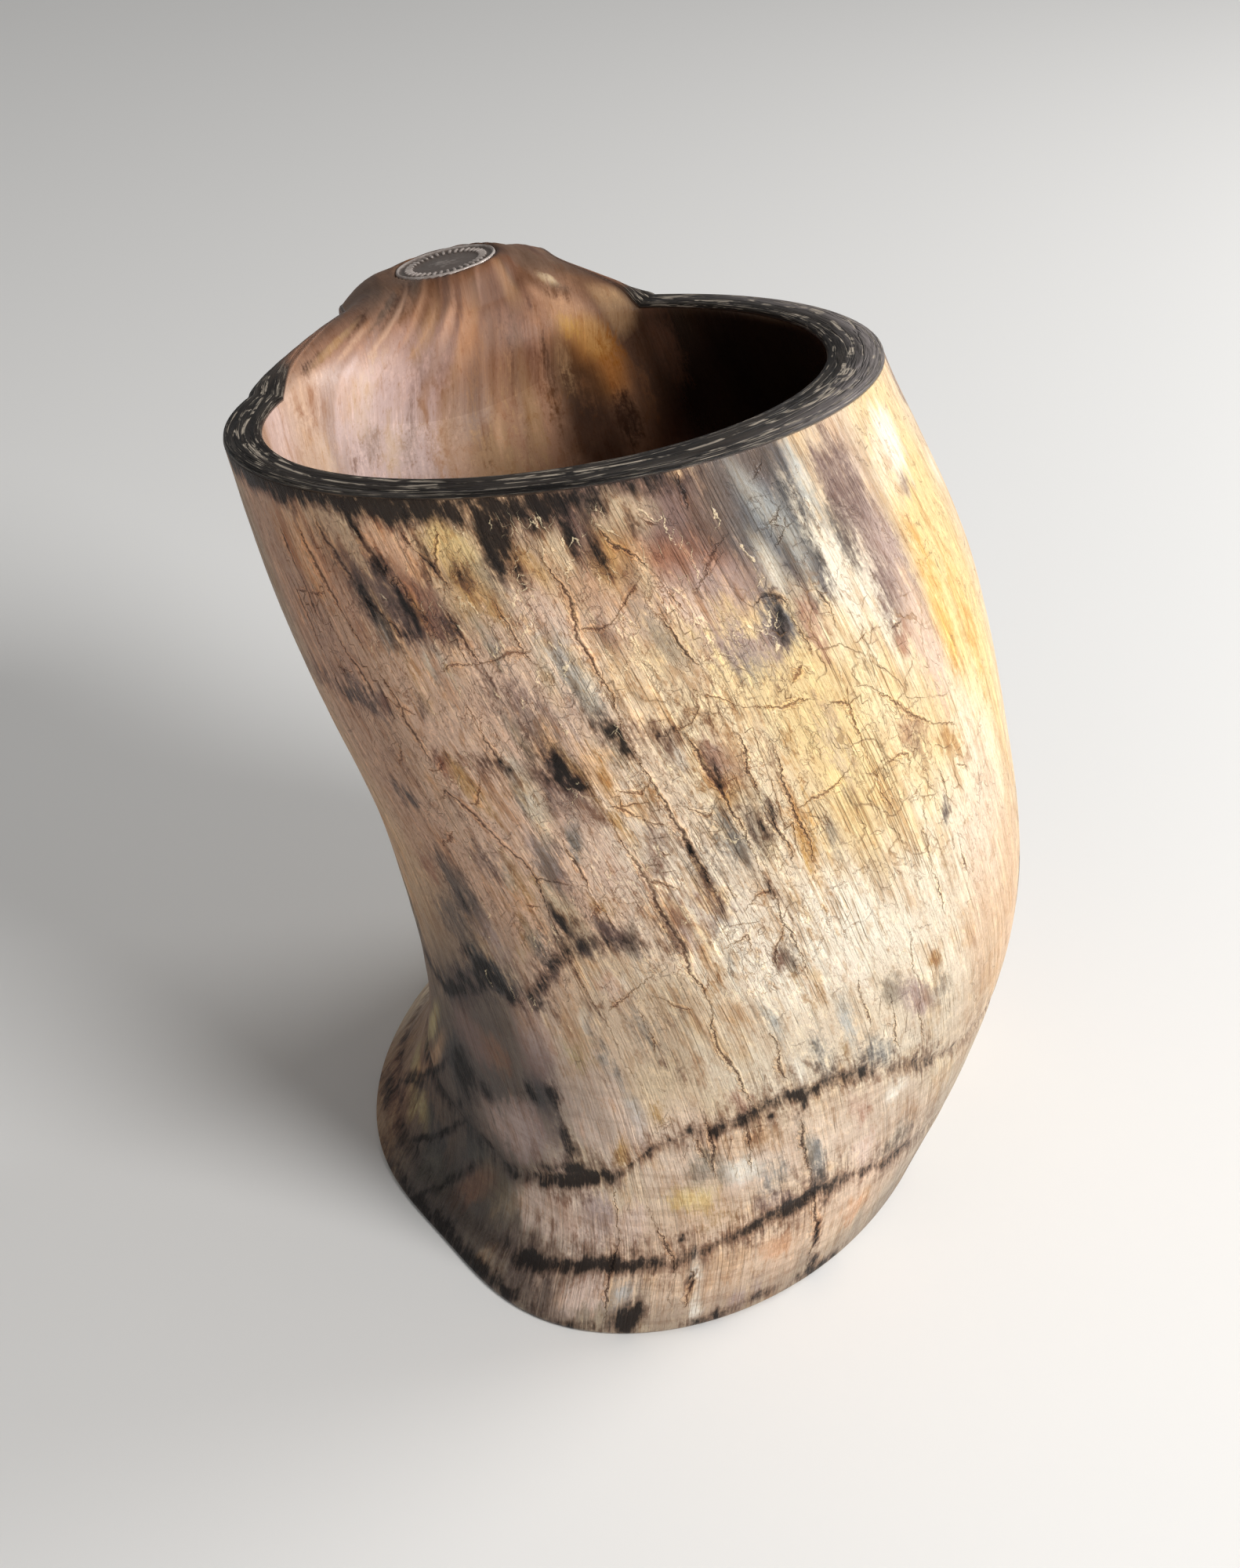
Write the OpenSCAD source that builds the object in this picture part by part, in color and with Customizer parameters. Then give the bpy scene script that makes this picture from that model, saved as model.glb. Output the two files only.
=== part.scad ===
// Drinking cup made of one curved cattle horn. The wide root end of the horn is
// the foot, closed by an oval disc. The sawn mouth is at the top. A strip of the
// wall is bent over at the back and down again, and makes the handle.
// Millimetres, +Z up, origin on the table under the middle of the foot.
// The handle points along +Y.

/* [Cup] */
// Height of the middle of the mouth above the table
cup_h = 150; // [130:1:175]
// Long axis of the oval root end
base_len = 126; // [114:1:138]
// Short axis of the root end
base_w = 100; // [92:1:112]
// Long axis of the mouth
rim_len = 102; // [94:1:112]
// Short axis of the mouth
rim_w = 80; // [74:1:90]
// How far the mouth stands to the left of the foot
lean = 22; // [10:1:28]
// How far the mouth stands forward of the foot
sway = 14; // [6:1:20]
// Slope of the mouth down towards the handle, in degrees
rim_slope = 11.4; // [6:0.2:15]

/* [Wall] */
// Wall on the side where the horn is thickest
thick_wall = 8; // [6:0.5:9]
// Wall on the opposite side
thin_wall = 5; // [4:0.5:6]
// Depth of the hollow above the foot at the front left
hollow_d = 6; // [0:0.5:8]
// Half height of that hollow
hollow_h = 20; // [14:1:26]

/* [Handle] */
// Depth of the strip's root below the rim
root_d = 12; // [8:1:16]
// How far the crest lies behind the back of the rim
crest_out = 9; // [6:1:14]
// Height of the crest's middle above the back of the rim
crest_up = 2; // [0:0.2:5]
// Width of the strip at its crest
crest_w = 33; // [30:1:42]
// Width of the strip at the grip
grip_w = 26; // [20:1:32]
// How far the grip stands behind the crest
grip_out = 25; // [20:1:32]
// How far below the crest the grip is farthest out
grip_drop = 34; // [28:1:42]
// Width of the strip at its lower end
tip_w = 20; // [16:1:26]
// Height of the strip's lower end above the table
tip_z = 50; // [44:1:60]
// Length of the lower end that lies on the wall
pad_len = 17; // [14:1:22]
// Thickness of the strip
strip_t = 5.5; // [4.5:0.5:6.5]

/* [Base disc] */
// Thickness of the disc let into the foot
disc_t = 8; // [6:0.5:12]
// Wall left round the disc
seat_wall = 4; // [3:0.5:4.5]
// Height of the wax bead in the corner above the disc
bead_h = 2.5; // [1.5:0.5:4]

/* [Pins and medallion] */
// Diameter of the two pins in the handle's lower end
pin_d = 3; // [2:0.5:4]
// How deep the pins go into the wall of the cup
pin_bite = 3.5; // [2.5:0.5:4]
// Diameter of the disc inlaid on the crest
medal_d = 15; // [11:0.5:18]
// Thickness of the inlaid disc
medal_t = 1.8; // [1.2:0.2:2.2]

/* [Hidden] */

// Glue line round the base disc and the medallion, and under the strip's end
glue_gap = 0.1;
// Play between the wax bead and what it lies against
bead_gap = 0.05;
// Play of the pins in their bores
pin_gap = 0.05;
// How far cuts run past the faces that they cut
over = 1;

// Angle between neighbouring columns of the wall, and the columns' angles
step_deg = 5;
columns = [for (a = [0 : step_deg : 360 - step_deg]) a];
// Rows of the outer wall and of the inner wall
outer_rows = 24;
inner_rows = 14;
// Rows of the strip's bent root, of its loop and of its lower end
root_rows = 12;
loop_rows = 20;
pad_rows = 4;

// Six sections of the horn, at these shares of its height
station_shares = [0, 0.12, 0.28, 0.5, 0.75, 1];
// Shares of the change from the root end's axes to the mouth's axes
long_shares = [0, 0.35, 0.55, 0.85, 0.85, 1];
short_shares = [0, 0.3, 0.3, 0.2, 0.6, 1];
// Shares of the lean and of the sway
lean_shares = [0, 0.3, 0.4, 0.1, -0.4, -1];
sway_shares = [0, -0.35, -0.55, -0.8, -0.9, -1];
// Turn of each oval, in degrees
oval_turns = [50, 42, 35, 26, 16, 34];

// Side on which the wall is thickest, in degrees
thick_side = -20;
// Middle and spread of the hollow round the wall, in degrees, and its height
hollow_side = 204;
hollow_spread = 24;
hollow_z = 8;
// Angles between which the strip leaves the wall
root_left = 155;
root_right = 60;
// Side of the wall on which the strip's lower end lies, in degrees
tip_side = 104;

// The crest: its offset from the mouth's middle to the right, how much its edges
// drop, its cant towards the right, and its fall towards the back
crest_x = -1;
crest_crown = 3;
crest_cant = 5;
crest_fall = 2;
// Pull of each curve's inner points, as shares of the distance that it covers
rise_share = 0.55;
arrive_share = 0.62;
flank_shares = [0.2, 0.45, 0.3];
// How much the left flank swells before it meets the crest
flank_lift = 3;
turn_share = 0.56;
settle_share = 0.6;
// Place of the grip between the crest and the lower end, as a share
grip_share = 0.4;
// Thickness at the strip's long edges and at its end, as shares of strip_t
edge_share = 0.6;
tip_share = 0.75;
// Share of the root over which the wall's thickness turns into the strip's
blend_share = 0.35;

mean_wall = (thick_wall + thin_wall) / 2;
wall_shift = (thick_wall - thin_wall) / 2;

// Slope of a list of station values at station i
function slope(v, i) = let (a = max(i - 1, 0), b = min(i + 1, len(v) - 1))
    (v[b] - v[a]) / (station_shares[b] - station_shares[a]);
// Station below height share t
function below(t) = max([for (i = [0 : len(station_shares) - 2]) station_shares[i] <= t ? i : 0]);
// Smooth curve through a list of station values
function along(v, t) = let (i = below(t), h = station_shares[i + 1] - station_shares[i],
    u = (t - station_shares[i]) / h, w = u * u * (3 - 2 * u))
    v[i] * (1 - w) + v[i + 1] * w
    + h * (slope(v, i) * u * pow(1 - u, 2) - slope(v, i + 1) * u * u * (1 - u));

// Depth of the hollow at height z and angle a
function hollow(z, a) = let (d = (a - hollow_side) / hollow_spread, e = (z - hollow_z) / hollow_h)
    hollow_d * exp(-d * d - e * e);

// Point of the wall's oval at height share t and angle a, moved in by inset;
// shift moves the whole oval towards the thin side
function oval(t, a, inset, shift) = let (
    long = (base_len + (rim_len - base_len) * along(long_shares, t)) / 2,
    short = (base_w + (rim_w - base_w) * along(short_shares, t)) / 2,
    turn = along(oval_turns, t),
    dent = hollow(t * cup_h, a),
    x = (long - inset - dent) * cos(a - turn),
    y = (short - inset - dent) * sin(a - turn))
    [lean * along(lean_shares, t) + x * cos(turn) - y * sin(turn) - shift * cos(thick_side),
     sway * along(sway_shares, t) + x * sin(turn) + y * cos(turn) - shift * sin(thick_side)];

// Height of the sawn mouth over point p
function mouth_z(p) = cup_h - tan(rim_slope) * (p.y + sway);
function outer_point(t, a) = let (p = oval(t, a, 0, 0))
    [p.x, p.y, t * mouth_z(oval(1, a, 0, 0))];
function inner_point(t, a, extra = 0) = let (p = oval(t, a, mean_wall + extra, wall_shift))
    [p.x, p.y, t * mouth_z(oval(1, a, mean_wall, wall_shift))];
function inner_share(z, a) = z / mouth_z(oval(1, a, mean_wall, wall_shift));
function outer_share(z, a) = z / mouth_z(oval(1, a, 0, 0));

// Place of angle a across the strip's root: -1 at its left edge, 1 at its right
function across(a) = 2 * (root_left - a) / (root_left - root_right) - 1;
// Height share at which the cup's own wall ends at angle a
function top_share(a) = abs(across(a)) < 1
    ? 1 - root_d / cup_h * pow(1 - pow(across(a), 2), 2) : 1;

// Triangles between rings of n points; closed joins the last ring to the first
function skin(rings, n, closed) = [for (r = [0 : rings - (closed ? 1 : 2)], k = [0 : n - 1])
    let (a = r * n + k, b = r * n + (k + 1) % n,
        c = ((r + 1) % rings) * n + (k + 1) % n, d = ((r + 1) % rings) * n + k)
    each [[a, b, c], [a, c, d]]];
function joined(rings) = [for (ring = rings) each ring];

// Rings of the outer and the inner wall; the outer rows crowd towards the foot
row_power = 1.2;
function outer_ring(r) = [for (a = columns)
    outer_point(top_share(a) * pow(r / outer_rows, row_power), a)];
function inner_ring(r) = [for (a = columns)
    let (low = inner_share(disc_t, a)) inner_point(low + (top_share(a) - low) * r / inner_rows, a)];
// Oval of the seat in the foot, moved in by gap
function seat_oval(gap) = [for (a = columns) oval(disc_t / cup_h, a, seat_wall + gap, 0)];
function seat_ring(z) = [for (p = seat_oval(0)) [p.x, p.y, z]];

module horn_shell() {
    rings = concat([for (r = [0 : outer_rows]) outer_ring(r)],
        [for (r = [inner_rows : -1 : 0]) inner_ring(r)], [seat_ring(disc_t), seat_ring(0)]);
    polyhedron(joined(rings), [for (f = skin(len(rings), len(columns), true)) [f[2], f[1], f[0]]]);
}

// The strip, laid out in columns from its left edge to its right edge
strip_angles = [root_left : -step_deg : root_right];
strip_places = [for (a = strip_angles) across(a)];
last_col = len(strip_places) - 1;
rim_back = outer_point(1, 90);
way_out = [0, grip_out, -crest_fall] / norm([grip_out, crest_fall]);

function bend(p0, p1, p2, p3, u) = p0 * pow(1 - u, 3) + 3 * p1 * u * pow(1 - u, 2)
    + 3 * p2 * u * u * (1 - u) + p3 * pow(u, 3);
// Middle of the wall where the strip begins, and half of the wall across it
function root_mid(a) = (outer_point(top_share(a), a) + inner_point(top_share(a), a)) / 2;
function root_half(a) = (inner_point(top_share(a), a) - outer_point(top_share(a), a)) / 2;
// Crest of the strip at place c across it
function crest_point(c) = [crest_x - lean + c * crest_w / 2, rim_back.y + crest_out,
    rim_back.z + crest_up - crest_crown * c * c + tan(crest_cant) * c * crest_w / 2];
// Middle of the strip's thickness over the wall at height z and place c
function tip_angle(c) = tip_side - c * atan(tip_w / base_w);
function wall_normal(z, a) = let (s = outer_share(z, a), e = disc_t / cup_h,
    up = outer_point(s + e, a) - outer_point(s - e, a),
    side = outer_point(s, a + step_deg) - outer_point(s, a - step_deg), n = cross(side, up))
    n / norm(n);
function on_wall(z, c) = let (a = tip_angle(c))
    outer_point(outer_share(z, a), a) + wall_normal(z, a) * (glue_gap + strip_t * tip_share / 2);

// Curve of column c from the root to the crest: it rises with the wall in the
// middle and runs along the flanks at the edges
function root_curve(a, u) = let (c = across(a), s = root_mid(a), k = crest_point(c), r = k - s,
    e = c * c, rise = [0, 0, r.z * rise_share],
    way_in = way_out * (r.y * arrive_share * (1 - e / 2)),
    flank = [r.x * flank_shares.x, r.y * flank_shares.y, r.z * flank_shares.z])
    bend(s, s + rise * (1 - e) + flank * e, k - way_in + [0, 0, c < 0 ? flank_lift * e : 0], k, u);
// Curve of column c from the crest out to the grip, and from there to the wall
function grip_point(c) = let (k = crest_point(c))
    [crest_point(0).x * (1 - grip_share) + on_wall(tip_z, 0).x * grip_share + c * grip_w / 2,
     k.y + grip_out, k.z - grip_drop];
function loop_curve(c, u) = let (k = crest_point(c), g = grip_point(c), v = 2 * u - 1,
    e = on_wall(tip_z + pad_len, c), along_wall = on_wall(tip_z + 2 * pad_len, c) - e,
    rest = (g.z - e.z) * settle_share)
    u < 0.5
    ? bend(k, k + way_out * (grip_out * turn_share), g + [0, 0, grip_drop * turn_share], g, 2 * u)
    : bend(g, g - [0, 0, rest], e + along_wall / norm(along_wall) * rest, e, v);
function middle_rows() = concat(
    [for (r = [0 : root_rows]) [for (a = strip_angles) root_curve(a, r / root_rows)]],
    [for (r = [1 : loop_rows]) [for (c = strip_places) loop_curve(c, r / loop_rows)]],
    [for (r = [1 : pad_rows]) [for (c = strip_places)
        on_wall(tip_z + pad_len * (1 - r / pad_rows), c)]]);
middle = middle_rows();
strip_rows = len(middle);
// Half of the thickness as a vector at row r and column k of the strip; the
// columns next to an edge follow the direction of one farther in
edge_cols = 3;
function half_vector(r, k) = let (
    m = max(edge_cols, min(k, last_col - edge_cols)),
    run = middle[min(r + 1, strip_rows - 1)][m] - middle[max(r - 1, 0)][m],
    side = middle[r][m + 1] - middle[r][m - 1],
    n = cross(side, run), u = min(r / root_rows / blend_share, 1), w = u * u * (3 - 2 * u),
    t = strip_t * (1 - (1 - tip_share) * max(r - root_rows, 0) / (strip_rows - 1 - root_rows)),
    e = (k == 0 || k == last_col) ? 1 - (1 - edge_share) * w : 1)
    (root_half(root_left - k * step_deg) * (1 - w) + n / norm(n) * (t / 2 * w)) * e;
function strip_ring(r) = concat([for (k = [0 : last_col]) middle[r][k] + half_vector(r, k)],
    [for (k = [last_col : -1 : 0]) middle[r][k] - half_vector(r, k)]);

module handle_strip() {
    rings = [for (r = [0 : strip_rows - 1]) strip_ring(r)];
    n = 2 * (last_col + 1);
    end = (strip_rows - 1) * n;
    start_cap = [for (k = [0 : last_col - 1])
        each [[k, n - 1 - k, k + 1], [k + 1, n - 1 - k, n - 2 - k]]];
    end_cap = [for (k = [0 : last_col - 1])
        each [[end + k, end + k + 1, end + n - 2 - k], [end + k, end + n - 2 - k, end + n - 1 - k]]];
    polyhedron(joined(rings), concat(skin(strip_rows, n, false), start_cap, end_cap));
}

// The two pins stand square to the wall, at these shares of the pad's length
pin_shares = [0.25, 0.7];
pin_len = pin_bite + glue_gap + strip_t;
module at_pins() {
    for (s = pin_shares) {
        z = tip_z + pad_len * s;
        n = wall_normal(z, tip_side);
        translate(outer_point(outer_share(z, tip_side), tip_side) - n * pin_bite)
            rotate([0, acos(n.z), atan2(n.y, n.x)])
                children();
    }
}

// The medallion lies on the flat of the crest, a little left of its middle
medal_x = -0.5;
medal_y = 1.5;
medal_proud = 0.1;
medal_cant = 6;
medal_tilt = atan(crest_fall / grip_out);
medal_rim = 0.8;
medal_dip = 0.4;
tick_count = 28;
tick_len = 1.8;
tick_w = 0.5;
module at_medal() {
    k = crest_point(0);
    translate([k.x + medal_x, k.y + medal_y, k.z - medal_y * tan(medal_tilt)])
        rotate([-medal_tilt, -medal_cant, 0])
            translate([0, 0, strip_t / 2 + medal_proud - medal_t])
                children();
}

// The cup's wall, one horn with a seat for the disc and two blind bores
module horn_body() {
    color([0.72, 0.6, 0.48])
    difference() {
        horn_shell();
        at_pins() cylinder(h = pin_len + over, d = pin_d, $fn = 32);
    }
}

// The bent strip, with its bores and the pocket of the medallion
module handle() {
    color([0.5, 0.38, 0.3])
    difference() {
        handle_strip();
        at_pins() cylinder(h = pin_len + over, d = pin_d, $fn = 32);
        at_medal() cylinder(h = strip_t + over, d = medal_d + 2 * glue_gap, $fn = 64);
    }
}

// Oval disc glued into the root end, flush with the foot
module base_disc() {
    color([0.3, 0.22, 0.16])
    linear_extrude(disc_t) polygon(seat_oval(glue_gap));
}

// Wax bead in the corner between the disc and the wall
module seal_bead() {
    color([0.8, 0.68, 0.4]) {
        low = disc_t + bead_gap;
        rings = [
            [for (a = columns) inner_point(inner_share(low, a), a, bead_gap)],
            [for (a = columns) inner_point(inner_share(low, a), a, bead_gap + bead_h)],
            [for (a = columns) inner_point(inner_share(low + bead_h, a), a, bead_gap)]];
        polyhedron(joined(rings), skin(len(rings), len(columns), true));
    }
}

// Two pins through the strip into the wall
module handle_pins() {
    color([0.62, 0.5, 0.28])
    at_pins() cylinder(h = pin_len, d = pin_d - 2 * pin_gap, $fn = 32);
}

// Thin disc with a raised edge and a ring of plain ticks
module medallion() {
    color([0.55, 0.52, 0.5])
    at_medal() {
        difference() {
            cylinder(h = medal_t, d = medal_d, $fn = 64);
            translate([0, 0, medal_t - medal_dip])
                cylinder(h = medal_dip + over, d = medal_d - 2 * medal_rim, $fn = 64);
        }
        for (i = [0 : tick_count - 1])
            rotate(i * 360 / tick_count)
                translate([medal_d / 2 - medal_rim - tick_len, -tick_w / 2, medal_t - 2 * medal_dip])
                    cube([tick_len + medal_rim / 2, tick_w, 2 * medal_dip]);
    }
}

horn_body();
handle();
base_disc();
seal_bead();
handle_pins();
medallion();
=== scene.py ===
# Horn drinking cup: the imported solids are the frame, and the horn, the inlaid disc,
# the base disc, the wax bead and the pins are shaped and finished here.
import bpy
import math
import numpy as np
from mathutils import Matrix, Vector


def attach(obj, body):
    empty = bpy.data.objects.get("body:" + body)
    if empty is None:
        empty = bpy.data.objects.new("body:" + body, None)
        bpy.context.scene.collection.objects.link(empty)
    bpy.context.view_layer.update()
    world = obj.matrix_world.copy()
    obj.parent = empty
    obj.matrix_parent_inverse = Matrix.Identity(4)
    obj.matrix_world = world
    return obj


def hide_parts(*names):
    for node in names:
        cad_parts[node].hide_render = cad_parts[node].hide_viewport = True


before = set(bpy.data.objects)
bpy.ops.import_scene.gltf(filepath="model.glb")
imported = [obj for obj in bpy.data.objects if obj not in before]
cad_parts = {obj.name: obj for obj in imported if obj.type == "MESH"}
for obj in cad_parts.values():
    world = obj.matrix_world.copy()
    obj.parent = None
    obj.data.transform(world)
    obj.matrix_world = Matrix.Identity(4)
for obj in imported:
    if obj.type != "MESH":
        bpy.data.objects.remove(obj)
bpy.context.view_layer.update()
scene = bpy.context.scene
mm = 0.001

# Camera at the photograph's place, in millimetres and degrees
cameraView = {"place": (-104.2, -264.3, 277.2), "azimuth": -20, "down": 36.6,
              "roll": 0.95, "lens": 48.6, "sensor": 36}


def setCamera(view):
    # forward from azimuth and tilt, right level, up square to both, then the roll
    turn, down = math.radians(-view["azimuth"]), math.radians(view["down"])
    forward = Vector((math.sin(turn) * math.cos(down), math.cos(turn) * math.cos(down), -math.sin(down)))
    right = Vector((math.cos(turn), -math.sin(turn), 0))
    up = right.cross(forward)
    basis = Matrix((right, up, -forward)).transposed()
    data = bpy.data.cameras.new("photoCamera")
    data.lens, data.sensor_width, data.sensor_fit = view["lens"], view["sensor"], "AUTO"
    data.clip_start, data.clip_end = 0.01, 20
    obj = bpy.data.objects.new("photoCamera", data)
    scene.collection.objects.link(obj)
    rolled = basis.to_4x4() @ Matrix.Rotation(math.radians(view["roll"]), 4, "Z")
    obj.matrix_world = Matrix.Translation(Vector(view["place"]) * mm) @ rolled
    scene.camera = obj


setCamera(cameraView)
print("camera set")

# The horn's measures in millimetres and degrees, as in the solids
hornShape = {
    "height": 150, "baseLength": 126, "baseWidth": 100, "rimLength": 102, "rimWidth": 80,
    "lean": 22, "sway": 14, "rimSlope": 11.4, "meanWall": 6.5, "wallShift": 1.5, "thickSide": -20,
    "hollowDepth": 6, "hollowHigh": 20, "hollowSide": 204, "hollowSpread": 24, "hollowZ": 8,
    "stations": [0, 0.12, 0.28, 0.5, 0.75, 1], "long": [0, 0.35, 0.55, 0.85, 0.85, 1],
    "short": [0, 0.3, 0.3, 0.2, 0.6, 1], "leaning": [0, 0.3, 0.4, 0.1, -0.4, -1],
    "swaying": [0, -0.35, -0.55, -0.8, -0.9, -1], "turns": [50, 42, 35, 26, 16, 34],
    "rimRound": 0.8, "footRound": 1.2, "discThick": 8, "seatWall": 4,
    "outerRows": 144, "innerRows": 50, "bandSteps": 8,
}
stripShape = {
    "rootLeft": 155, "rootRight": 60, "rootDrop": 12, "crestOut": 9, "crestUp": 2, "crestWide": 33,
    "crestX": -1, "crestCrown": 3, "crestCant": 5, "crestFall": 2, "leftOut": 1.6, "leftUp": -1.2, "shoulder": 1.3, "rightUp": 2.1, "gripWide": 26, "gripOut": 25,
    "gripDrop": 34, "gripShare": 0.4, "tipWide": 20, "tipZ": 50, "padLong": 17, "tipSide": 104,
    "thick": 5.5, "edgeThin": 0.6, "tipThin": 0.75, "blend": 0.35, "rise": 0.55, "arrive": 0.62,
    "flank": (0.2, 0.45, 0.3), "flankLift": 5, "flankOut": 1.1, "turn": 0.56, "settle": 0.6, "glue": 0.1,
    "edgeRound": 1.1, "rootRows": 36, "loopRows": 58, "padRows": 12, "smoothing": 8,
}
footDegrees = math.pi / 180


def alongStations(values, t):
    # cubic through the station values, each slope the difference of its neighbours
    s, v = np.array(hornShape["stations"], float), np.array(values, float)
    low, high = np.maximum(np.arange(6) - 1, 0), np.minimum(np.arange(6) + 1, 5)
    slopes = (v[high] - v[low]) / (s[high] - s[low])
    t = np.asarray(t, float)
    i = np.clip(np.searchsorted(s, t, side="right") - 1, 0, 4)
    h = s[i + 1] - s[i]
    u = (t - s[i]) / h
    w = u * u * (3 - 2 * u)
    return v[i] * (1 - w) + v[i + 1] * w + h * (slopes[i] * u * (1 - u) ** 2 - slopes[i + 1] * u * u * (1 - u))


def ovalPoint(t, a, inset, shift):
    # turned ellipse at share t and angle a, less the inset and the hollow, about the leaning middle
    q = hornShape
    wrapped = np.mod(a, 360)
    dent = q["hollowDepth"] * np.exp(-((wrapped - q["hollowSide"]) / q["hollowSpread"]) ** 2
                                     - ((t * q["height"] - q["hollowZ"]) / q["hollowHigh"]) ** 2)
    halfLong = (q["baseLength"] + (q["rimLength"] - q["baseLength"]) * alongStations(q["long"], t)) / 2
    halfShort = (q["baseWidth"] + (q["rimWidth"] - q["baseWidth"]) * alongStations(q["short"], t)) / 2
    turn = alongStations(q["turns"], t) * footDegrees
    r = a * footDegrees - turn
    x, y = (halfLong - inset - dent) * np.cos(r), (halfShort - inset - dent) * np.sin(r)
    thick = q["thickSide"] * footDegrees
    return (q["lean"] * alongStations(q["leaning"], t) + x * np.cos(turn) - y * np.sin(turn)
            - shift * math.cos(thick),
            q["sway"] * alongStations(q["swaying"], t) + x * np.sin(turn) + y * np.cos(turn)
            - shift * math.sin(thick))


def mouthHeight(y):
    return (hornShape["height"] - hornShape["rimRound"]
            - math.tan(hornShape["rimSlope"] * footDegrees) * (y + hornShape["sway"]))


def wallPoint(t, a, inset=0.0, shift=0.0):
    # point of the wall: its oval at share t, at that share of the height of the mouth above it
    t, a = np.broadcast_arrays(np.asarray(t, float), np.asarray(a, float))
    x, y = ovalPoint(t, a, inset, shift)
    top = mouthHeight(ovalPoint(np.ones_like(t), a, inset, shift)[1])
    return np.stack([x, y, t * top], -1)


def liningPoint(t, a, extra=0.0):
    return wallPoint(t, a, hornShape["meanWall"] + extra, hornShape["wallShift"])


def shareAt(z, a, inside=False):
    inset, shift = (hornShape["meanWall"], hornShape["wallShift"]) if inside else (0.0, 0.0)
    return z / mouthHeight(ovalPoint(np.ones_like(a), a, inset, shift)[1])


def acrossStrip(a):
    q = stripShape
    return 2 * (q["rootLeft"] - a) / (q["rootLeft"] - q["rootRight"]) - 1


def topShare(a):
    # the wall's top sinks by the root's drop, as the square of one less the square of the place
    c = acrossStrip(np.mod(a, 360))
    return np.where(np.abs(c) < 1, 1 - stripShape["rootDrop"] / hornShape["height"] * (1 - c * c) ** 2, 1.0)


def unit(v):
    return v / np.maximum(np.linalg.norm(v, axis=-1, keepdims=True), 1e-12)


def bendCurve(p0, p1, p2, p3, u):
    # cubic Bezier with its four points given per column
    u = u[:, None, None]
    return p0 * (1 - u) ** 3 + 3 * p1 * u * (1 - u) ** 2 + 3 * p2 * u * u * (1 - u) + p3 * u ** 3


def wallNormal(z, a):
    s, e = shareAt(z, a), hornShape["discThick"] / hornShape["height"]
    up = wallPoint(s + e, a) - wallPoint(s - e, a)
    side = wallPoint(s, a + 5) - wallPoint(s, a - 5)
    return unit(np.cross(side, up))


def stripMiddle(c):
    # middle surface of the strip: rows from the root over the crest and the grip to the wall
    q = stripShape
    a = q["rootLeft"] - (c + 1) / 2 * (q["rootLeft"] - q["rootRight"])
    top = topShare(a)
    start = (wallPoint(top, a) + liningPoint(top, a)) / 2
    back = wallPoint(1.0, 90.0)
    crestWide = q["crestWide"] - 2 * q["edgeRound"]

    def stack(x, y, z):
        return np.stack(np.broadcast_arrays(x, y, z), -1).astype(float)

    raised = np.where(c < 0, q["leftUp"], q["rightUp"]) * c * c + np.where(c < 0, q["shoulder"], 0) * np.exp(-((c + 0.75) / 0.3) ** 2)
    crest = stack(q["crestX"] - hornShape["lean"] + c * crestWide / 2 - np.where(c < 0, q["leftOut"], 0) * c * c,
                  back[1] + q["crestOut"], back[2] + hornShape["rimRound"] + q["crestUp"] - q["crestCrown"] * c * c + raised
                  + math.tan(q["crestCant"] * footDegrees) * c * crestWide / 2)
    wayOut = unit(np.array([0, q["gripOut"], -q["crestFall"]], float))
    reach, e = crest - start, c * c
    rise = stack(0 * c, 0 * c, reach[:, 2] * q["rise"])
    flank = reach * np.array(q["flank"])
    wayIn = wayOut * (reach[:, 1] * q["arrive"] * (1 - e / 2))[:, None]
    lift = stack(np.where(c < 0, -q["flankOut"] * e, 0), 0 * c, np.where(c < 0, q["flankLift"] * e, 0))
    u = np.arange(q["rootRows"]) / q["rootRows"]
    rows = [bendCurve(start, start + rise * (1 - e)[:, None] + flank * e[:, None], crest - wayIn + lift, crest, u)]

    def onWall(z):
        side = q["tipSide"] - c * math.degrees(math.atan((q["tipWide"] - 2 * q["edgeRound"]) / hornShape["baseWidth"]))
        zz = np.full_like(c, z)
        return wallPoint(shareAt(zz, side), side) + wallNormal(zz, side) * (q["glue"] + q["thick"] * q["tipThin"] / 2)

    centre = q["tipSide"]
    middleWall = wallPoint(shareAt(np.array(q["tipZ"], float), np.array(centre, float)), centre)
    grip = stack((q["crestX"] - hornShape["lean"]) * (1 - q["gripShare"]) + middleWall[0] * q["gripShare"]
                 + c * (q["gripWide"] - 2 * q["edgeRound"]) / 2, crest[:, 1] + q["gripOut"], crest[:, 2] - q["gripDrop"])
    pad = onWall(q["tipZ"] + q["padLong"])
    upWall = unit(onWall(q["tipZ"] + 2 * q["padLong"]) - pad)
    rest = ((grip[:, 2] - pad[:, 2]) * q["settle"])[:, None]
    down = np.array([0, 0, 1.0])
    half = q["loopRows"] // 2
    u = np.arange(half) / half
    rows.append(bendCurve(crest, crest + wayOut * q["gripOut"] * q["turn"],
                          grip + down * q["gripDrop"] * q["turn"], grip, u))
    rows.append(bendCurve(grip, grip - down * rest, pad + upWall * rest, pad, u))
    rows.append(np.stack([onWall(q["tipZ"] + q["padLong"] * (1 - r / q["padRows"]))
                          for r in range(q["padRows"] + 1)]))
    grid = np.concatenate(rows)
    for _ in range(q["smoothing"]):
        grid[2:-2] = (grid[1:-3] + 2 * grid[2:-2] + grid[3:-1]) / 4
    return grid


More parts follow.
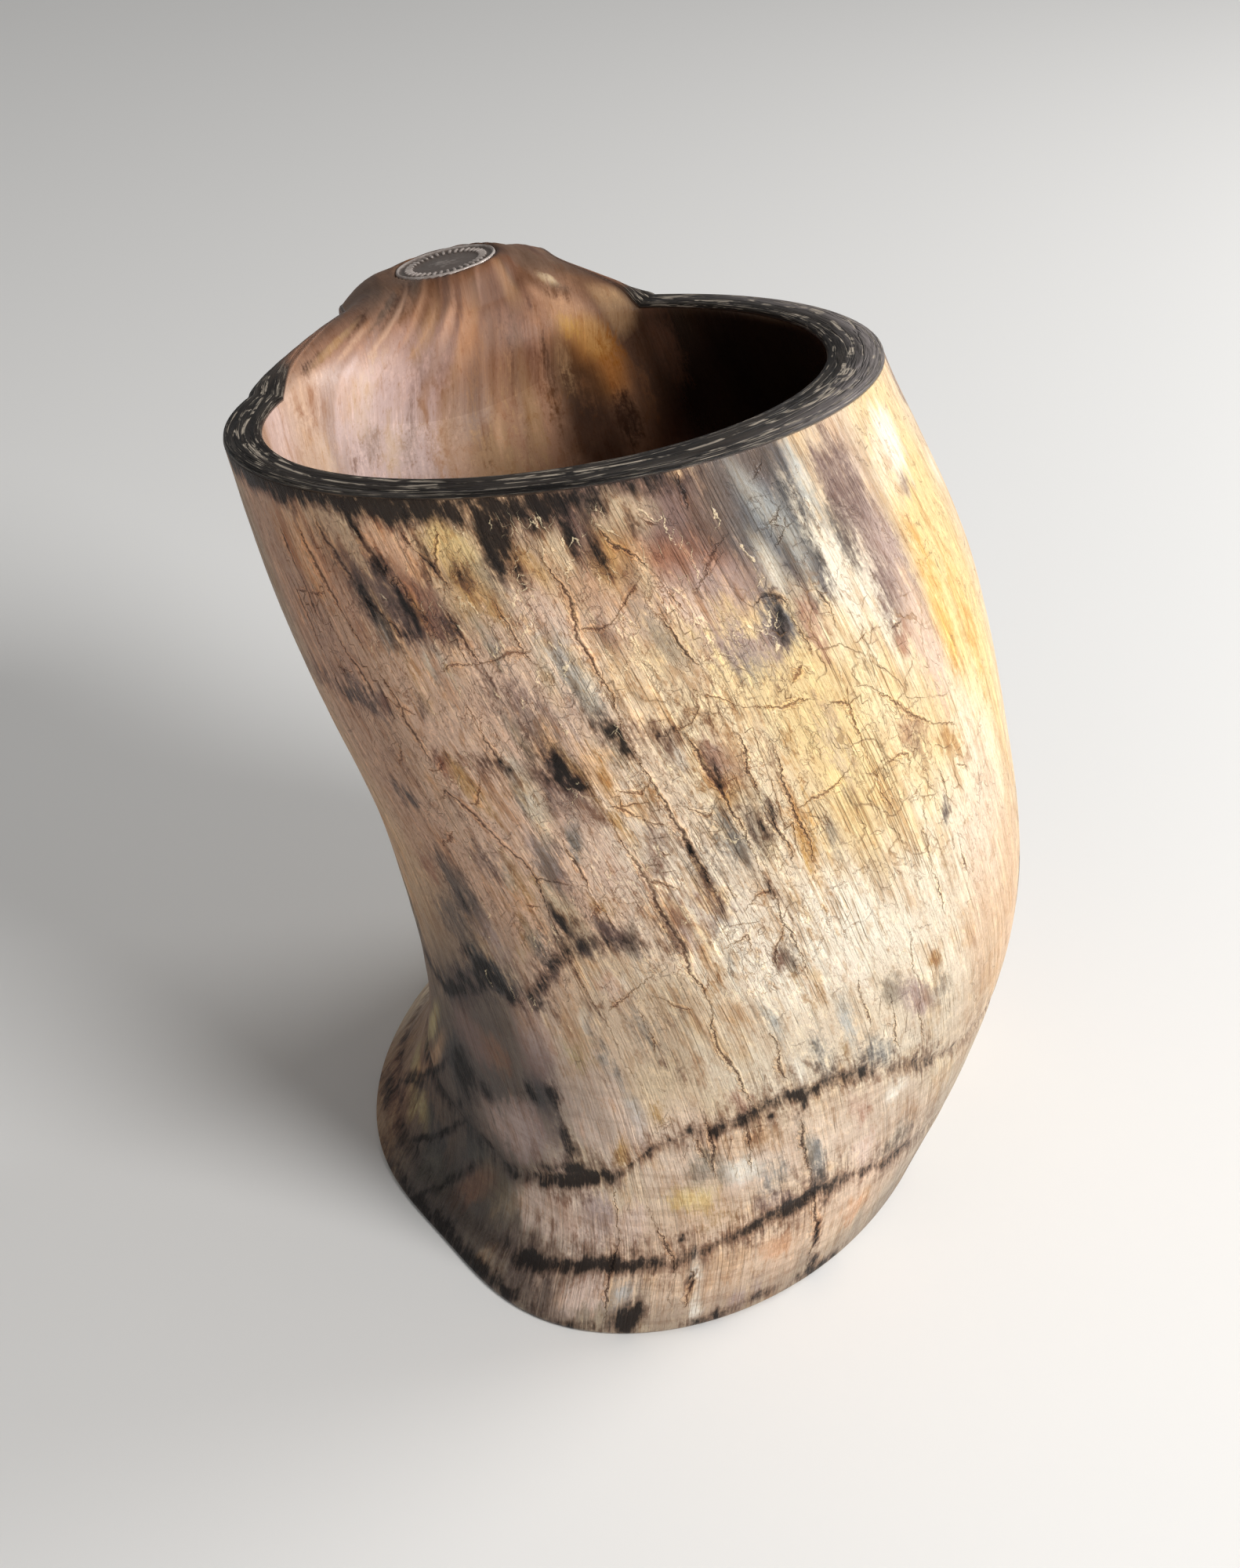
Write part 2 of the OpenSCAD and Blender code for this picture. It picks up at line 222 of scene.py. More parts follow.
def stripSides(a):
    # the two faces of the strip: the middle surface less or plus half the thickness along its
    # normal; near the root the half wall takes over from the normal
    q = stripShape
    c = acrossStrip(a)
    grid = stripMiddle(c)
    rows, cols = grid.shape[:2]
    run, side = np.gradient(grid, axis=0), np.gradient(grid, axis=1)
    normal = unit(np.cross(side, run))
    inward = int(0.15 * cols)
    normal = normal[:, np.clip(np.arange(cols), inward, cols - 1 - inward)]
    r = np.arange(rows)[:, None]
    u = np.minimum(r / q["rootRows"] / q["blend"], 1)
    w = u * u * (3 - 2 * u)
    thin = 1 - (1 - q["tipThin"]) * np.maximum(r - q["rootRows"], 0) / (rows - 1 - q["rootRows"])
    edge = 1 - (1 - q["edgeThin"]) * w * np.abs(c) ** 5
    rootHalf = (liningPoint(topShare(a), a) - wallPoint(topShare(a), a)) / 2
    half = (rootHalf[None] * (1 - w)[..., None] + normal * (q["thick"] / 2 * thin * w)[..., None]) * edge[..., None]
    length = np.concatenate([[0], np.cumsum(np.linalg.norm(np.diff(grid[:, cols // 2], axis=0), axis=-1))])
    return grid - half, grid + half, length


def softNoise(x, y, seed, repeat=64):
    # value noise: random heights on a lattice, joined by smooth steps; x repeats after repeat cells
    heights = np.random.RandomState(seed).rand(repeat, 97)
    x, y = np.asarray(x, float), np.asarray(y, float)
    i, j = np.floor(x).astype(int), np.floor(y).astype(int)
    u, v = x - i, y - j
    u, v = u * u * (3 - 2 * u), v * v * (3 - 2 * v)
    i0, i1, j0, j1 = i % repeat, (i + 1) % repeat, j % 97, (j + 1) % 97
    return ((heights[i0, j0] * (1 - u) + heights[i1, j0] * u) * (1 - v)
            + (heights[i0, j1] * (1 - u) + heights[i1, j1] * u) * v)


def layeredNoise(a, s, around, high, seed):
    # three octaves of value noise; a in degrees wraps round the horn, s in millimetres runs along it
    total = 0
    for k, weight in enumerate((0.55, 0.3, 0.15)):
        cells = around * 2 ** k
        total = total + weight * softNoise(np.mod(a, 360) / 360 * cells, s / high * 2 ** k + 7, seed + k, cells)
    return total


def smooth(low, high, x):
    u = np.clip((x - low) / (high - low), 0, 1)
    return u * u * (3 - 2 * u)


# Growth rings: angles, share in percent and darkness of each ring
ringLines = {
    "upper": ([-210, -165, -150, -140, -130, -124, -119, -112, -104, -98, -92, -84, -75, -68, -60, -20, 40, 110, 150],
              [16, 15, 14, 17, 19.5, 21.5, 25, 27, 28.5, 30.5, 31.3, 31, 29, 27, 24.5, 20, 24, 28, 16],
              [0.6, 0.6, 0.7, 0.7, 0.9, 0.75, 0.7, 0.7, 0.75, 0.8, 0.85, 0.7, 0.5, 0.5, 0.4, 0.4, 0.4, 0.4, 0.6]),
    "lower": ([-210, -150, -136, -125, -118, -110, -103, -97, -90, -84, -76, -66, -50, 20, 90, 150],
              [5, 4.5, 5.6, 8, 9.2, 9.6, 11.2, 13, 14.4, 15.2, 14.4, 13, 10, 10, 12, 5],
              [0.5, 0.4, 0.8, 0.9, 0.8, 0.6, 0.5, 0.7, 0.75, 0.8, 0.6, 0.5, 0.4, 0.4, 0.4, 0.5]),
    "shoulder": ([-210, -165, -156, -149, -142, -138, -134, -128, -121, -114, -108, -60, 60, 150],
                 [34, 36, 40, 43, 42.5, 45, 48.5, 52, 53, 52, 54, 54, 50, 34],
                 [0.5, 0.75, 0.8, 0.8, 0.7, 0.55, 0.5, 0.6, 0.5, 0.4, 0.1, 0, 0.3, 0.5]),
    "neck": ([-210, -160, -152, -146, -140, -128, -120, -114, -108, -102, -96, -60, 60, 150],
             [76, 77, 77.5, 76.5, 72, 71.5, 71.5, 74, 76, 76, 77, 75, 72, 76],
             [0.3, 0.5, 0.5, 0.3, 0.15, 0.4, 0.5, 0.2, 0.5, 0.35, 0.2, 0, 0.2, 0.3]),
}


def ringHeight(name, a):
    places, shares = ringLines[name][:2]
    return np.interp(np.mod(a + 210, 360) - 210, places, shares)


def wallRelief(a, share):
    # millimetres outwards: scraped flutes along the horn, low ripples round it near the foot,
    # a groove at the upper and at the lower growth ring, and nothing at the sawn edge and at the foot's edge
    s = share * 1.5
    flutes = 0.55 * (layeredNoise(a - grainTurn(a, share), s, 22, 160, 3) - 0.5)
    ripples = 0.35 * (layeredNoise(a, s + 5 * (ringHeight("upper", a) - 25) / 25, 4, 9, 11) - 0.5)
    ripples = ripples * (0.35 + 0.65 * smooth(60, 10, share))
    grooves = -0.5 * np.exp(-((share - ringHeight("upper", a)) / 0.8) ** 2)
    grooves = grooves - 0.35 * np.exp(-((share - ringHeight("lower", a)) / 0.8) ** 2)
    return (flutes + ripples + grooves) * smooth(0, 4, share) * smooth(101, 97, share)


def grainTurn(a, share):
    # how far the grain has turned about the horn below the mouth, in degrees
    fall = np.interp(share, [0, 25, 50, 75, 100], [38, 22, 11, 3.5, 0])
    return fall * (0.8 + 0.2 * np.cos((a + 130) * footDegrees))


def liningRelief(a, share):
    return 0.85 * (layeredNoise(a, share * 1.5, 16, 26, 23) - 0.5) * smooth(101, 96, share)


def gridNormals(points):
    # cross product of the differences round and along a grid
    along, round_ = np.gradient(points, axis=0), np.gradient(points, axis=1)
    return unit(np.cross(round_, along))


def makeMesh(name, points, faces, faceMap=None, floats=None, vectors=None, colours=None):
    # a mesh object from whole arrays; faceMap gives a UV pair per face corner
    mesh = bpy.data.meshes.new(name)
    mesh.vertices.add(len(points))
    mesh.vertices.foreach_set("co", np.ascontiguousarray(points * mm, np.float32).ravel())
    faces = np.ascontiguousarray(faces, np.int32)
    mesh.loops.add(faces.size)
    mesh.loops.foreach_set("vertex_index", faces.ravel())
    mesh.polygons.add(len(faces))
    mesh.polygons.foreach_set("loop_start", np.arange(len(faces), dtype=np.int32) * faces.shape[1])
    mesh.update(calc_edges=True)
    mesh.validate()
    mesh.polygons.foreach_set("use_smooth", np.ones(len(mesh.polygons), bool))
    if faceMap is not None:
        layer = mesh.uv_layers.new(name="hornMap")
        layer.data.foreach_set("uv", np.ascontiguousarray(faceMap, np.float32).ravel())
    for key, values in (floats or {}).items():
        mesh.attributes.new(key, "FLOAT", "POINT").data.foreach_set("value", np.asarray(values, np.float32))
    for key, values in (vectors or {}).items():
        mesh.attributes.new(key, "FLOAT_VECTOR", "POINT").data.foreach_set(
            "vector", np.ascontiguousarray(values, np.float32).ravel())
    for key, values in (colours or {}).items():
        full = np.concatenate([values, np.ones((len(values), 1))], 1)
        mesh.attributes.new(key, "FLOAT_COLOR", "POINT").data.foreach_set(
            "color", np.ascontiguousarray(full, np.float32).ravel())
    obj = bpy.data.objects.new(name, mesh)
    scene.collection.objects.link(obj)
    return obj


# Paints in display values from 0 to 255
paints = {
    "cream": (222, 196, 160), "pale": (246, 234, 212), "pink": (210, 170, 142), "lilac": (180, 154, 142),
    "tan": (188, 150, 112), "peach": (216, 166, 124), "olive": (186, 168, 118), "yellow": (234, 202, 128),
    "gold": (232, 182, 96), "brown": (130, 92, 66), "umber": (78, 54, 42), "purple": (122, 94, 84),
    "steel": (132, 130, 124), "paleSteel": (206, 206, 198), "ash": (158, 142, 120), "coal": (42, 35, 32),
    "rust": (152, 98, 66), "amber": (166, 104, 40), "black": (22, 18, 16), "blush": (228, 198, 174),
    "dusk": (96, 78, 66), "green": (78, 74, 60), "salmon": (190, 146, 118), "glow": (226, 180, 144),
    "ochre": (196, 152, 88), "slate": (92, 92, 95), "butter": (238, 207, 142), "shell": (222, 194, 186), "clay": (152, 110, 86),
}


def linear(colour):
    c = np.array(colour, float) / 255
    return np.where(c <= 0.04045, c / 12.92, ((c + 0.055) / 1.055) ** 2.4)


# Broad tints of the outer wall: angle, share in percent, half width in degrees, half height in
# percent, slant in degrees of turn for each percent downwards, paint, strength
wallTints = [
    (-172, 60, 26, 60, 0, "tan", 0.8), (-150, 72, 20, 20, 0.3, "pink", 0.8), (-160, 90, 14, 14, 0, "salmon", 0.7),
    (-128, 78, 16, 12, 0.3, "pink", 0.8), (-124, 60, 12, 10, 0.3, "pink", 0.8), (-140, 52, 9, 9, 0.4, "pink", 0.8),
    (-115, 92, 24, 8, 0.1, "tan", 0.5), (-92, 92, 14, 8, 0, "salmon", 0.8), (-74, 95, 8, 8, 0, "slate", 0.8),
    (-54, 88, 8, 13, 0, "lilac", 0.7), (-66, 80, 8, 14, 0, "pale", 0.9), (-38, 80, 12, 24, 0, "yellow", 0.72),
    (-48, 60, 10, 12, 0, "pale", 0.7), (-90, 76, 20, 13, 0.2, "butter", 0.6), (-68, 68, 16, 12, 0.2, "butter", 0.6),
    (-104, 64, 8, 10, 0.3, "ash", 0.35), (-88, 50, 18, 8, 0.2, "pale", 0.95), (-62, 50, 14, 12, 0.1, "pale", 0.6),
    (-118, 42, 10, 8, 0.35, "ash", 0.35), (-98, 38, 14, 7, 0.4, "pale", 0.5), (-72, 36, 14, 8, 0.2, "pale", 0.4),
    (-45, 42, 14, 20, 0, "peach", 0.4), (-150, 30, 16, 14, 0.3, "dusk", 0.9), (-132, 32, 8, 10, 0.5, "lilac", 0.6),
    (-110, 24, 16, 6, 0.5, "blush", 0.6), (-84, 24, 16, 6, 0.6, "blush", 0.5), (-100, 10, 30, 9, 0.5, "pink", 0.5),
    # The dusk, brown and coal tints round (-165, 15), (-198, 15), (-165, 20) and (-150, 30) darken the low left lobe:
    # dark horn deepened with painted shade.
    (-130, 13, 12, 5, 0.4, "blush", 0.8), (-134, 4, 14, 4, 0.3, "pink", 0.8), (-165, 15, 24, 22, 0, "dusk", 0.9),
    (-198, 15, 20, 26, 0, "brown", 0.8), (-66, 14, 14, 8, 0.5, "pink", 0.5), (-178, 88, 10, 14, 0, "ash", 0.7),
    (-140, 93, 12, 6, 0.2, "rust", 0.4), (-158, 80, 12, 22, 0.1, "clay", 0.4), (-100, 66, 16, 16, 0.2, "pale", 0.45), (-112, 82, 12, 8, 0.2, "blush", 0.6), (-94, 98, 16, 4, 0, "purple", 0.8), (-72, 99, 10, 3, 0, "purple", 0.6), (-150, 45, 14, 10, 0.3, "dusk", 0.5),
    (-165, 20, 20, 24, 0, "coal", 0.5), (-60, 24, 22, 14, 0, "ash", 0.35), (-48, 8, 18, 12, 0, "ash", 0.6),
    (-122, 66, 22, 14, 0.2, "blush", 0.5), (-108, 56, 12, 12, 0.3, "pale", 0.4), (-130, 42, 14, 8, 0.3, "blush", 0.35),
    # This row darkens the bottom edge round the front: painted contact shadow.
    (-105, 0, 60, 5, 0, "dusk", 0.5), (-150, 3, 30, 8, 0, "coal", 0.6), (-40, 1, 40, 7, 0, "dusk", 0.4),
]
# Marks over them with streaky borders
wallMarks = [
    (-79.6, 84.4, 2.6, 3.2, 0.1, "slate", 1), (-97, 97.6, 9, 2.6, 0, "dusk", 0.85), (-88, 95, 5, 3.4, 0, "purple", 0.9),
    (-83, 92, 5, 3, 0.1, "purple", 0.8), (-72, 86.6, 4, 2.6, 0.2, "purple", 0.5), (-86, 80, 3, 3, 0.2, "steel", 0.5),
    (-76.5, 95, 4.5, 6, 0, "slate", 1), (-71, 92, 2.4, 7, 0.1, "slate", 0.8), (-73, 99, 8, 2, 0, "dusk", 0.8),
    (-66.5, 96, 1.6, 5, 0, "slate", 0.6), (-188, 36, 8, 9, -1.1, "green", 0.8), (-192, 25, 4, 10, -1.1, "coal", 0.75),
    (-150, 20.5, 9, 4.5, 0, "lilac", 0.75), (-162, 12, 4, 8, 0.4, "coal", 0.8), (-148, 9, 4, 3, 0, "ash", 0.7), (-141, 12, 5, 3, 0.1, "blush", 0.85), (-134, 13, 4, 3, 0.1, "pink", 0.8), (-160, 31, 7, 4, 0, "purple", 0.8),
    (-138, 11, 6, 2.4, 0.1, "blush", 0.9), (-120.5, 5, 3, 3, 0.4, "blush", 0.8), (-143, 2.4, 5, 1.4, 0, "cream", 0.6), (-126, 12, 3, 3, 0.4, "blush", 0.8),
    (-115, 5, 2, 4, 0.3, "paleSteel", 0.6), (-88, 20, 2, 5, 0.5, "steel", 0.8), (-96, 20, 3, 3, 0.3, "steel", 0.6),
    (-80, 33, 4, 3, 0.4, "steel", 0.7), (-90, 36, 2, 5, 0.4, "steel", 0.6), (-108, 22, 4, 3, 0.4, "ash", 0.8),
    (-102, 22, 3, 2, 0.3, "pale", 0.8), (-78, 18, 4, 3, 0.4, "blush", 0.8), (-68, 16, 4, 3, 0.4, "ash", 0.7),
    (-150, 93.5, 8, 5, 0.2, "peach", 0.8), (-131.5, 95, 5.5, 3.6, 0.2, "glow", 1), (-122, 95.6, 4, 2.8, 0, "butter", 0.9),
    (-137, 88.5, 5, 4.5, 0.3, "purple", 0.8), (-142.5, 91, 3, 5, 0.3, "umber", 0.55), (-130, 89.5, 4, 3.6, 0.3, "rust", 0.9),
    (-146, 88, 3, 5, 0.2, "salmon", 0.8), (-135, 90, 2, 4, 0.3, "umber", 0.7), (-127, 87, 2.4, 2, 0.3, "umber", 0.6),
    (-118, 92.5, 3, 3, 0.1, "ash", 0.8), (-121, 90.5, 3, 3, 0.2, "ochre", 0.8), (-111, 93.6, 3, 2.6, 0.1, "ochre", 0.8),
    (-112, 88, 5, 4, 0.2, "blush", 0.8), (-106, 95, 2, 2.6, 0, "cream", 0.9), (-102, 96, 1.4, 3, 0.1, "purple", 0.9),
    (-98, 92, 4, 3.4, 0.1, "ochre", 0.9), (-102, 88, 4, 3, 0.1, "blush", 0.6), (-90, 91, 6, 2.6, 0, "rust", 0.95),
    (-84, 97, 4, 3.4, 0, "purple", 0.9), (-80.5, 96.5, 3.4, 3.6, 0, "dusk", 0.75), (-94, 97, 4, 2, 0, "cream", 0.7),
    (-86, 89, 6, 2.4, 0, "lilac", 0.8), (-95, 88, 4, 2.6, 0, "blush", 0.7), (-74, 96, 1.6, 4, 0.3, "paleSteel", 0.5),
    (-68.6, 93, 1.7, 7, 0, "coal", 0.62), (-64, 95, 1.4, 7, 0, "paleSteel", 0.75), (-71, 90, 1.4, 4, 0, "paleSteel", 0.5),
    (-61, 90, 2.4, 4, 0, "dusk", 0.75), (-60, 96, 1.6, 3, 0, "purple", 0.7), (-56, 93, 4, 6, 0, "purple", 0.75),
    (-53, 85, 4, 5, 0, "lilac", 0.8), (-58, 82, 3, 4, 0, "purple", 0.7), (-77, 89.5, 1.2, 3, 0, "pale", 0.7),
    (-44, 93, 5, 4, 0, "pale", 0.8), (-38, 95.5, 5, 3.2, 0, "pale", 1), (-41, 90.5, 3, 0.9, 0, "brown", 0.6),
    (-45.5, 82, 3, 11, 0, "gold", 0.65), (-38, 76, 3, 11, 0, "gold", 0.65), (-47, 76, 2, 4, 0, "gold", 0.75),
    (-53, 76, 4, 6, 0, "blush", 0.9), (-58.6, 78, 2.6, 1.2, 0, "salmon", 0.8), (-74.5, 83, 1.8, 3.6, 0, "salmon", 0.8),
    (-86, 83, 6, 2.6, 0.1, "lilac", 0.7), (-90, 86.5, 2.4, 2, 0.1, "blush", 0.8), (-95, 82, 4, 4, 0.1, "cream", 0.8),
    (-104, 81, 3.4, 4, 0.2, "cream", 0.8), (-110.5, 80, 2.4, 4, 0.1, "steel", 0.7), (-124, 79, 4, 3, 0.3, "purple", 0.5),
    (-117, 78.5, 4, 3, 0.3, "lilac", 0.6), (-113, 84, 3, 3, 0.1, "paleSteel", 0.6), (-138, 80, 2, 3.4, 0.1, "ochre", 0.5),
    (-151, 77.5, 5, 2.4, 0.2, "purple", 0.7), (-147, 77, 2, 1, 0.2, "rust", 0.6), (-157, 77, 6, 1, 0, "umber", 0.5),
    (-127.5, 72, 4.4, 1.3, 0.1, "brown", 0.95), (-119, 72.3, 3, 2, 0.2, "umber", 0.9), (-122.5, 69, 6, 2, 0.2, "purple", 0.8),
    (-118, 67.5, 3.4, 1.8, 0.2, "brown", 0.6), (-127, 67, 1.6, 1.6, 0.2, "steel", 0.7), (-140, 70.5, 3.4, 2.4, 0.4, "rust", 0.75),
    (-136, 68.5, 2.4, 3.6, 0.4, "ochre", 0.8), (-141.5, 66, 2, 2, 0.4, "brown", 0.6), (-155, 66, 3, 1.8, 0.2, "umber", 0.75),
    (-151.5, 65, 1.6, 1, 0, "umber", 0.6), (-98, 72, 2.6, 4, 0.2, "ochre", 0.6), (-95.5, 72.5, 2.6, 3, 0.2, "lilac", 0.8),
    (-93.5, 66.5, 2.6, 3, 0.2, "ash", 0.8), (-88, 72, 1.2, 5, 0.1, "cream", 0.6), (-84, 71.5, 1.6, 3, 0.1, "ochre", 0.6),
    (-77, 71, 3, 5, 0.1, "cream", 0.6), (-87, 62.5, 1.6, 5, 0.15, "ochre", 0.85), (-82, 61.5, 1.6, 2.6, 0.1, "ash", 0.7),
    (-62, 68.5, 4, 2.6, 0.4, "tan", 0.65), (-54, 66, 4.4, 1.8, 0.4, "ochre", 0.7), (-50.5, 63.6, 2, 0.8, 0.3, "tan", 0.6),
    (-59.5, 59, 1.8, 1.3, 0, "dusk", 0.85), (-54, 56, 1.6, 0.6, 0, "ochre", 0.7), (-103, 62, 2.6, 4, 0.2, "steel", 0.5),
    (-104, 57.5, 4, 3, 0.3, "lilac", 0.6), (-113.8, 66, 1.6, 3, 0.3, "ochre", 0.8), (-108, 69.5, 4, 1.4, 0.3, "ochre", 0.5),
    (-128.5, 62, 2.6, 3, 0.2, "lilac", 0.8), (-129, 55.5, 2.6, 3, 0.3, "ash", 0.9), (-121, 57, 3, 1.6, 0.2, "ochre", 0.55),
    (-121, 53.6, 4, 1.8, 0.2, "purple", 0.8), (-127.5, 51.5, 3.4, 2, 0.3, "dusk", 0.8), (-117, 51.5, 2.4, 1.2, 0.3, "dusk", 0.6),
    (-134.5, 58, 1.8, 4, 0.2, "ochre", 0.6), (-110, 54.5, 2, 2.4, 0.3, "lilac", 0.7), (-135, 50, 2.4, 3, 0.3, "steel", 0.6),
    (-140, 60, 5, 3, 0.4, "purple", 0.6), (-150, 58, 3, 3, 0.4, "brown", 0.6), (-150.5, 54, 3.4, 4.4, 0.4, "dusk", 0.95),
    (-158, 55, 3.4, 2, 0.2, "rust", 0.7), (-156, 49, 5, 3, 0.3, "dusk", 0.8), (-146, 49, 3, 3, 0.4, "lilac", 0.7),
    (-149, 43.5, 5.4, 2.6, 0.3, "coal", 1), (-157, 41, 5, 2.2, -1.4, "umber", 0.95), (-141, 42.6, 4.4, 1.3, -1.4, "umber", 0.8),
    (-136, 46, 2, 2, -1, "brown", 0.6), (-162, 36.5, 5, 2.4, -1.4, "umber", 0.9), (-124, 46, 3, 2, 0.3, "blush", 0.7),
    (-120, 41, 3, 3.6, 0.35, "steel", 0.5), (-128, 43, 1.8, 2.4, 0.3, "brown", 0.5), (-140, 39, 3, 3, 0.4, "pink", 0.9),
    (-127.5, 36, 1.8, 3.4, 0.5, "steel", 0.65), (-133, 37, 2.4, 2, 0.5, "olive", 0.6), (-117, 35, 4, 2.4, 0.4, "brown", 0.45),
    (-111, 36, 2.4, 2.4, 0.4, "tan", 0.7), (-104, 31.5, 2.4, 2, 0.4, "pink", 0.7), (-119, 29.5, 2, 2.4, 0.4, "ochre", 0.7),
    (-126, 30, 3, 4, 0.5, "blush", 0.7), (-122.6, 29, 1.6, 4, 0.5, "paleSteel", 0.6), (-142, 34, 4, 5, 0.4, "purple", 0.8),
    (-141, 29, 3.4, 2.4, 0.4, "coal", 0.85), (-137, 24, 2, 5, 0.4, "dusk", 0.9), (-131.5, 26, 3, 3.6, 0.5, "blush", 0.55),
    (-125, 23.6, 1.8, 2, 0.5, "ochre", 0.8), (-76, 41, 3, 2.6, 0.3, "ash", 0.9), (-70.5, 38.5, 3.4, 3.4, 0.4, "lilac", 0.9),
    (-66, 38, 2.4, 3, 0.4, "ash", 0.6), (-67, 42.5, 1.4, 1.4, 0.2, "ochre", 0.7), (-85.5, 40, 1.6, 4, 0.3, "paleSteel", 0.7),
    (-98, 42, 1.6, 4, 0.3, "paleSteel", 0.6), (-90, 44, 2, 2.4, 0.3, "ochre", 0.6), (-86, 35.5, 1.2, 2.4, 0.3, "ochre", 0.6),
    (-94, 35, 1.2, 3, 0.3, "pale", 0.9), (-99, 26, 4, 2, 0.3, "tan", 0.8), (-92, 24, 1.4, 4, 0.5, "ash", 0.8),
    (-82, 25, 2, 3.4, 0.5, "salmon", 0.7), (-74, 26, 3.4, 2, 0.5, "pale", 0.8), (-110, 18, 4, 1.8, 0.4, "butter", 0.8),
    (-119, 15, 3, 3, 0.6, "blush", 0.9), (-127, 15, 3, 3, 0.5, "lilac", 0.8), (-104, 15, 5, 1.8, 0.4, "ochre", 0.5),
    (-94, 16, 5, 1.4, 0.4, "lilac", 0.6), (-96, 11, 4, 1.6, 0.4, "brown", 0.5), (-90, 9, 4, 2, 0.5, "peach", 0.9),
    (-105, 9, 1.6, 3, 0.6, "pale", 0.8), (-124, 4.5, 3, 2.4, 0.5, "blush", 0.8), (-130, 3.4, 2.4, 2.4, 0.5, "dusk", 0.5),
    (-140, 3, 6, 1.4, 0.2, "dusk", 0.7), (-101, 3, 1.4, 3, 0.6, "pale", 0.8), (-92, 3, 4, 2, 0.5, "lilac", 0.6),
    (-72, 8, 4, 3, 0.6, "peach", 0.7), (-144, 24, 5, 3, 0.3, "purple", 0.7), (-152, 32, 4, 3, 0.3, "brown", 0.7),
    (-184, 21, 3, 8, -1.14, "olive", 0.85), (-187, 9, 9, 2, 2, "olive", 0.8), (-181, 14, 3, 5, -1, "umber", 0.7),
    (-196, 4, 8, 2, 0, "rust", 0.6), (-174, 9, 5, 3, 1.4, "coal", 0.8), (-168, 5, 6, 2, 1, "green", 0.7),
    (-176, 18, 3, 6, -1, "dusk", 0.7), (-156, 11, 6, 3.4, 0, "green", 0.75), (-162, 20, 5, 4, 0, "dusk", 0.6), (-181, 18, 2, 9, -1.1, "tan", 0.8), (-187, 5, 4, 3, 0, "brown", 0.7),
    (-146, 22, 5, 4, 0.2, "lilac", 0.85), (-122, 26, 3, 4, 0.5, "blush", 0.6), (-141, 38, 4, 4, 0.3, "lilac", 0.7), (-137, 20, 3, 3, 0.4, "blush", 0.5),
    (-92, 60, 0.8, 9, 0.25, "ochre", 0.6), (-87.5, 58, 0.7, 8, 0.25, "gold", 0.5), (-95, 54, 0.7, 8, 0.25, "ochre", 0.5), (-84.5, 64, 0.8, 7, 0.2, "gold", 0.5),
    (-112, 58, 3, 7, 0.3, "lilac", 0.5), (-119, 62, 3, 6, 0.3, "blush", 0.6), (-78, 55, 0.8, 8, 0.2, "ochre", 0.5), (-158, 8, 4, 4, -0.6, "brown", 0.7), (-168, 25, 6, 5, 0, "coal", 0.8),
]
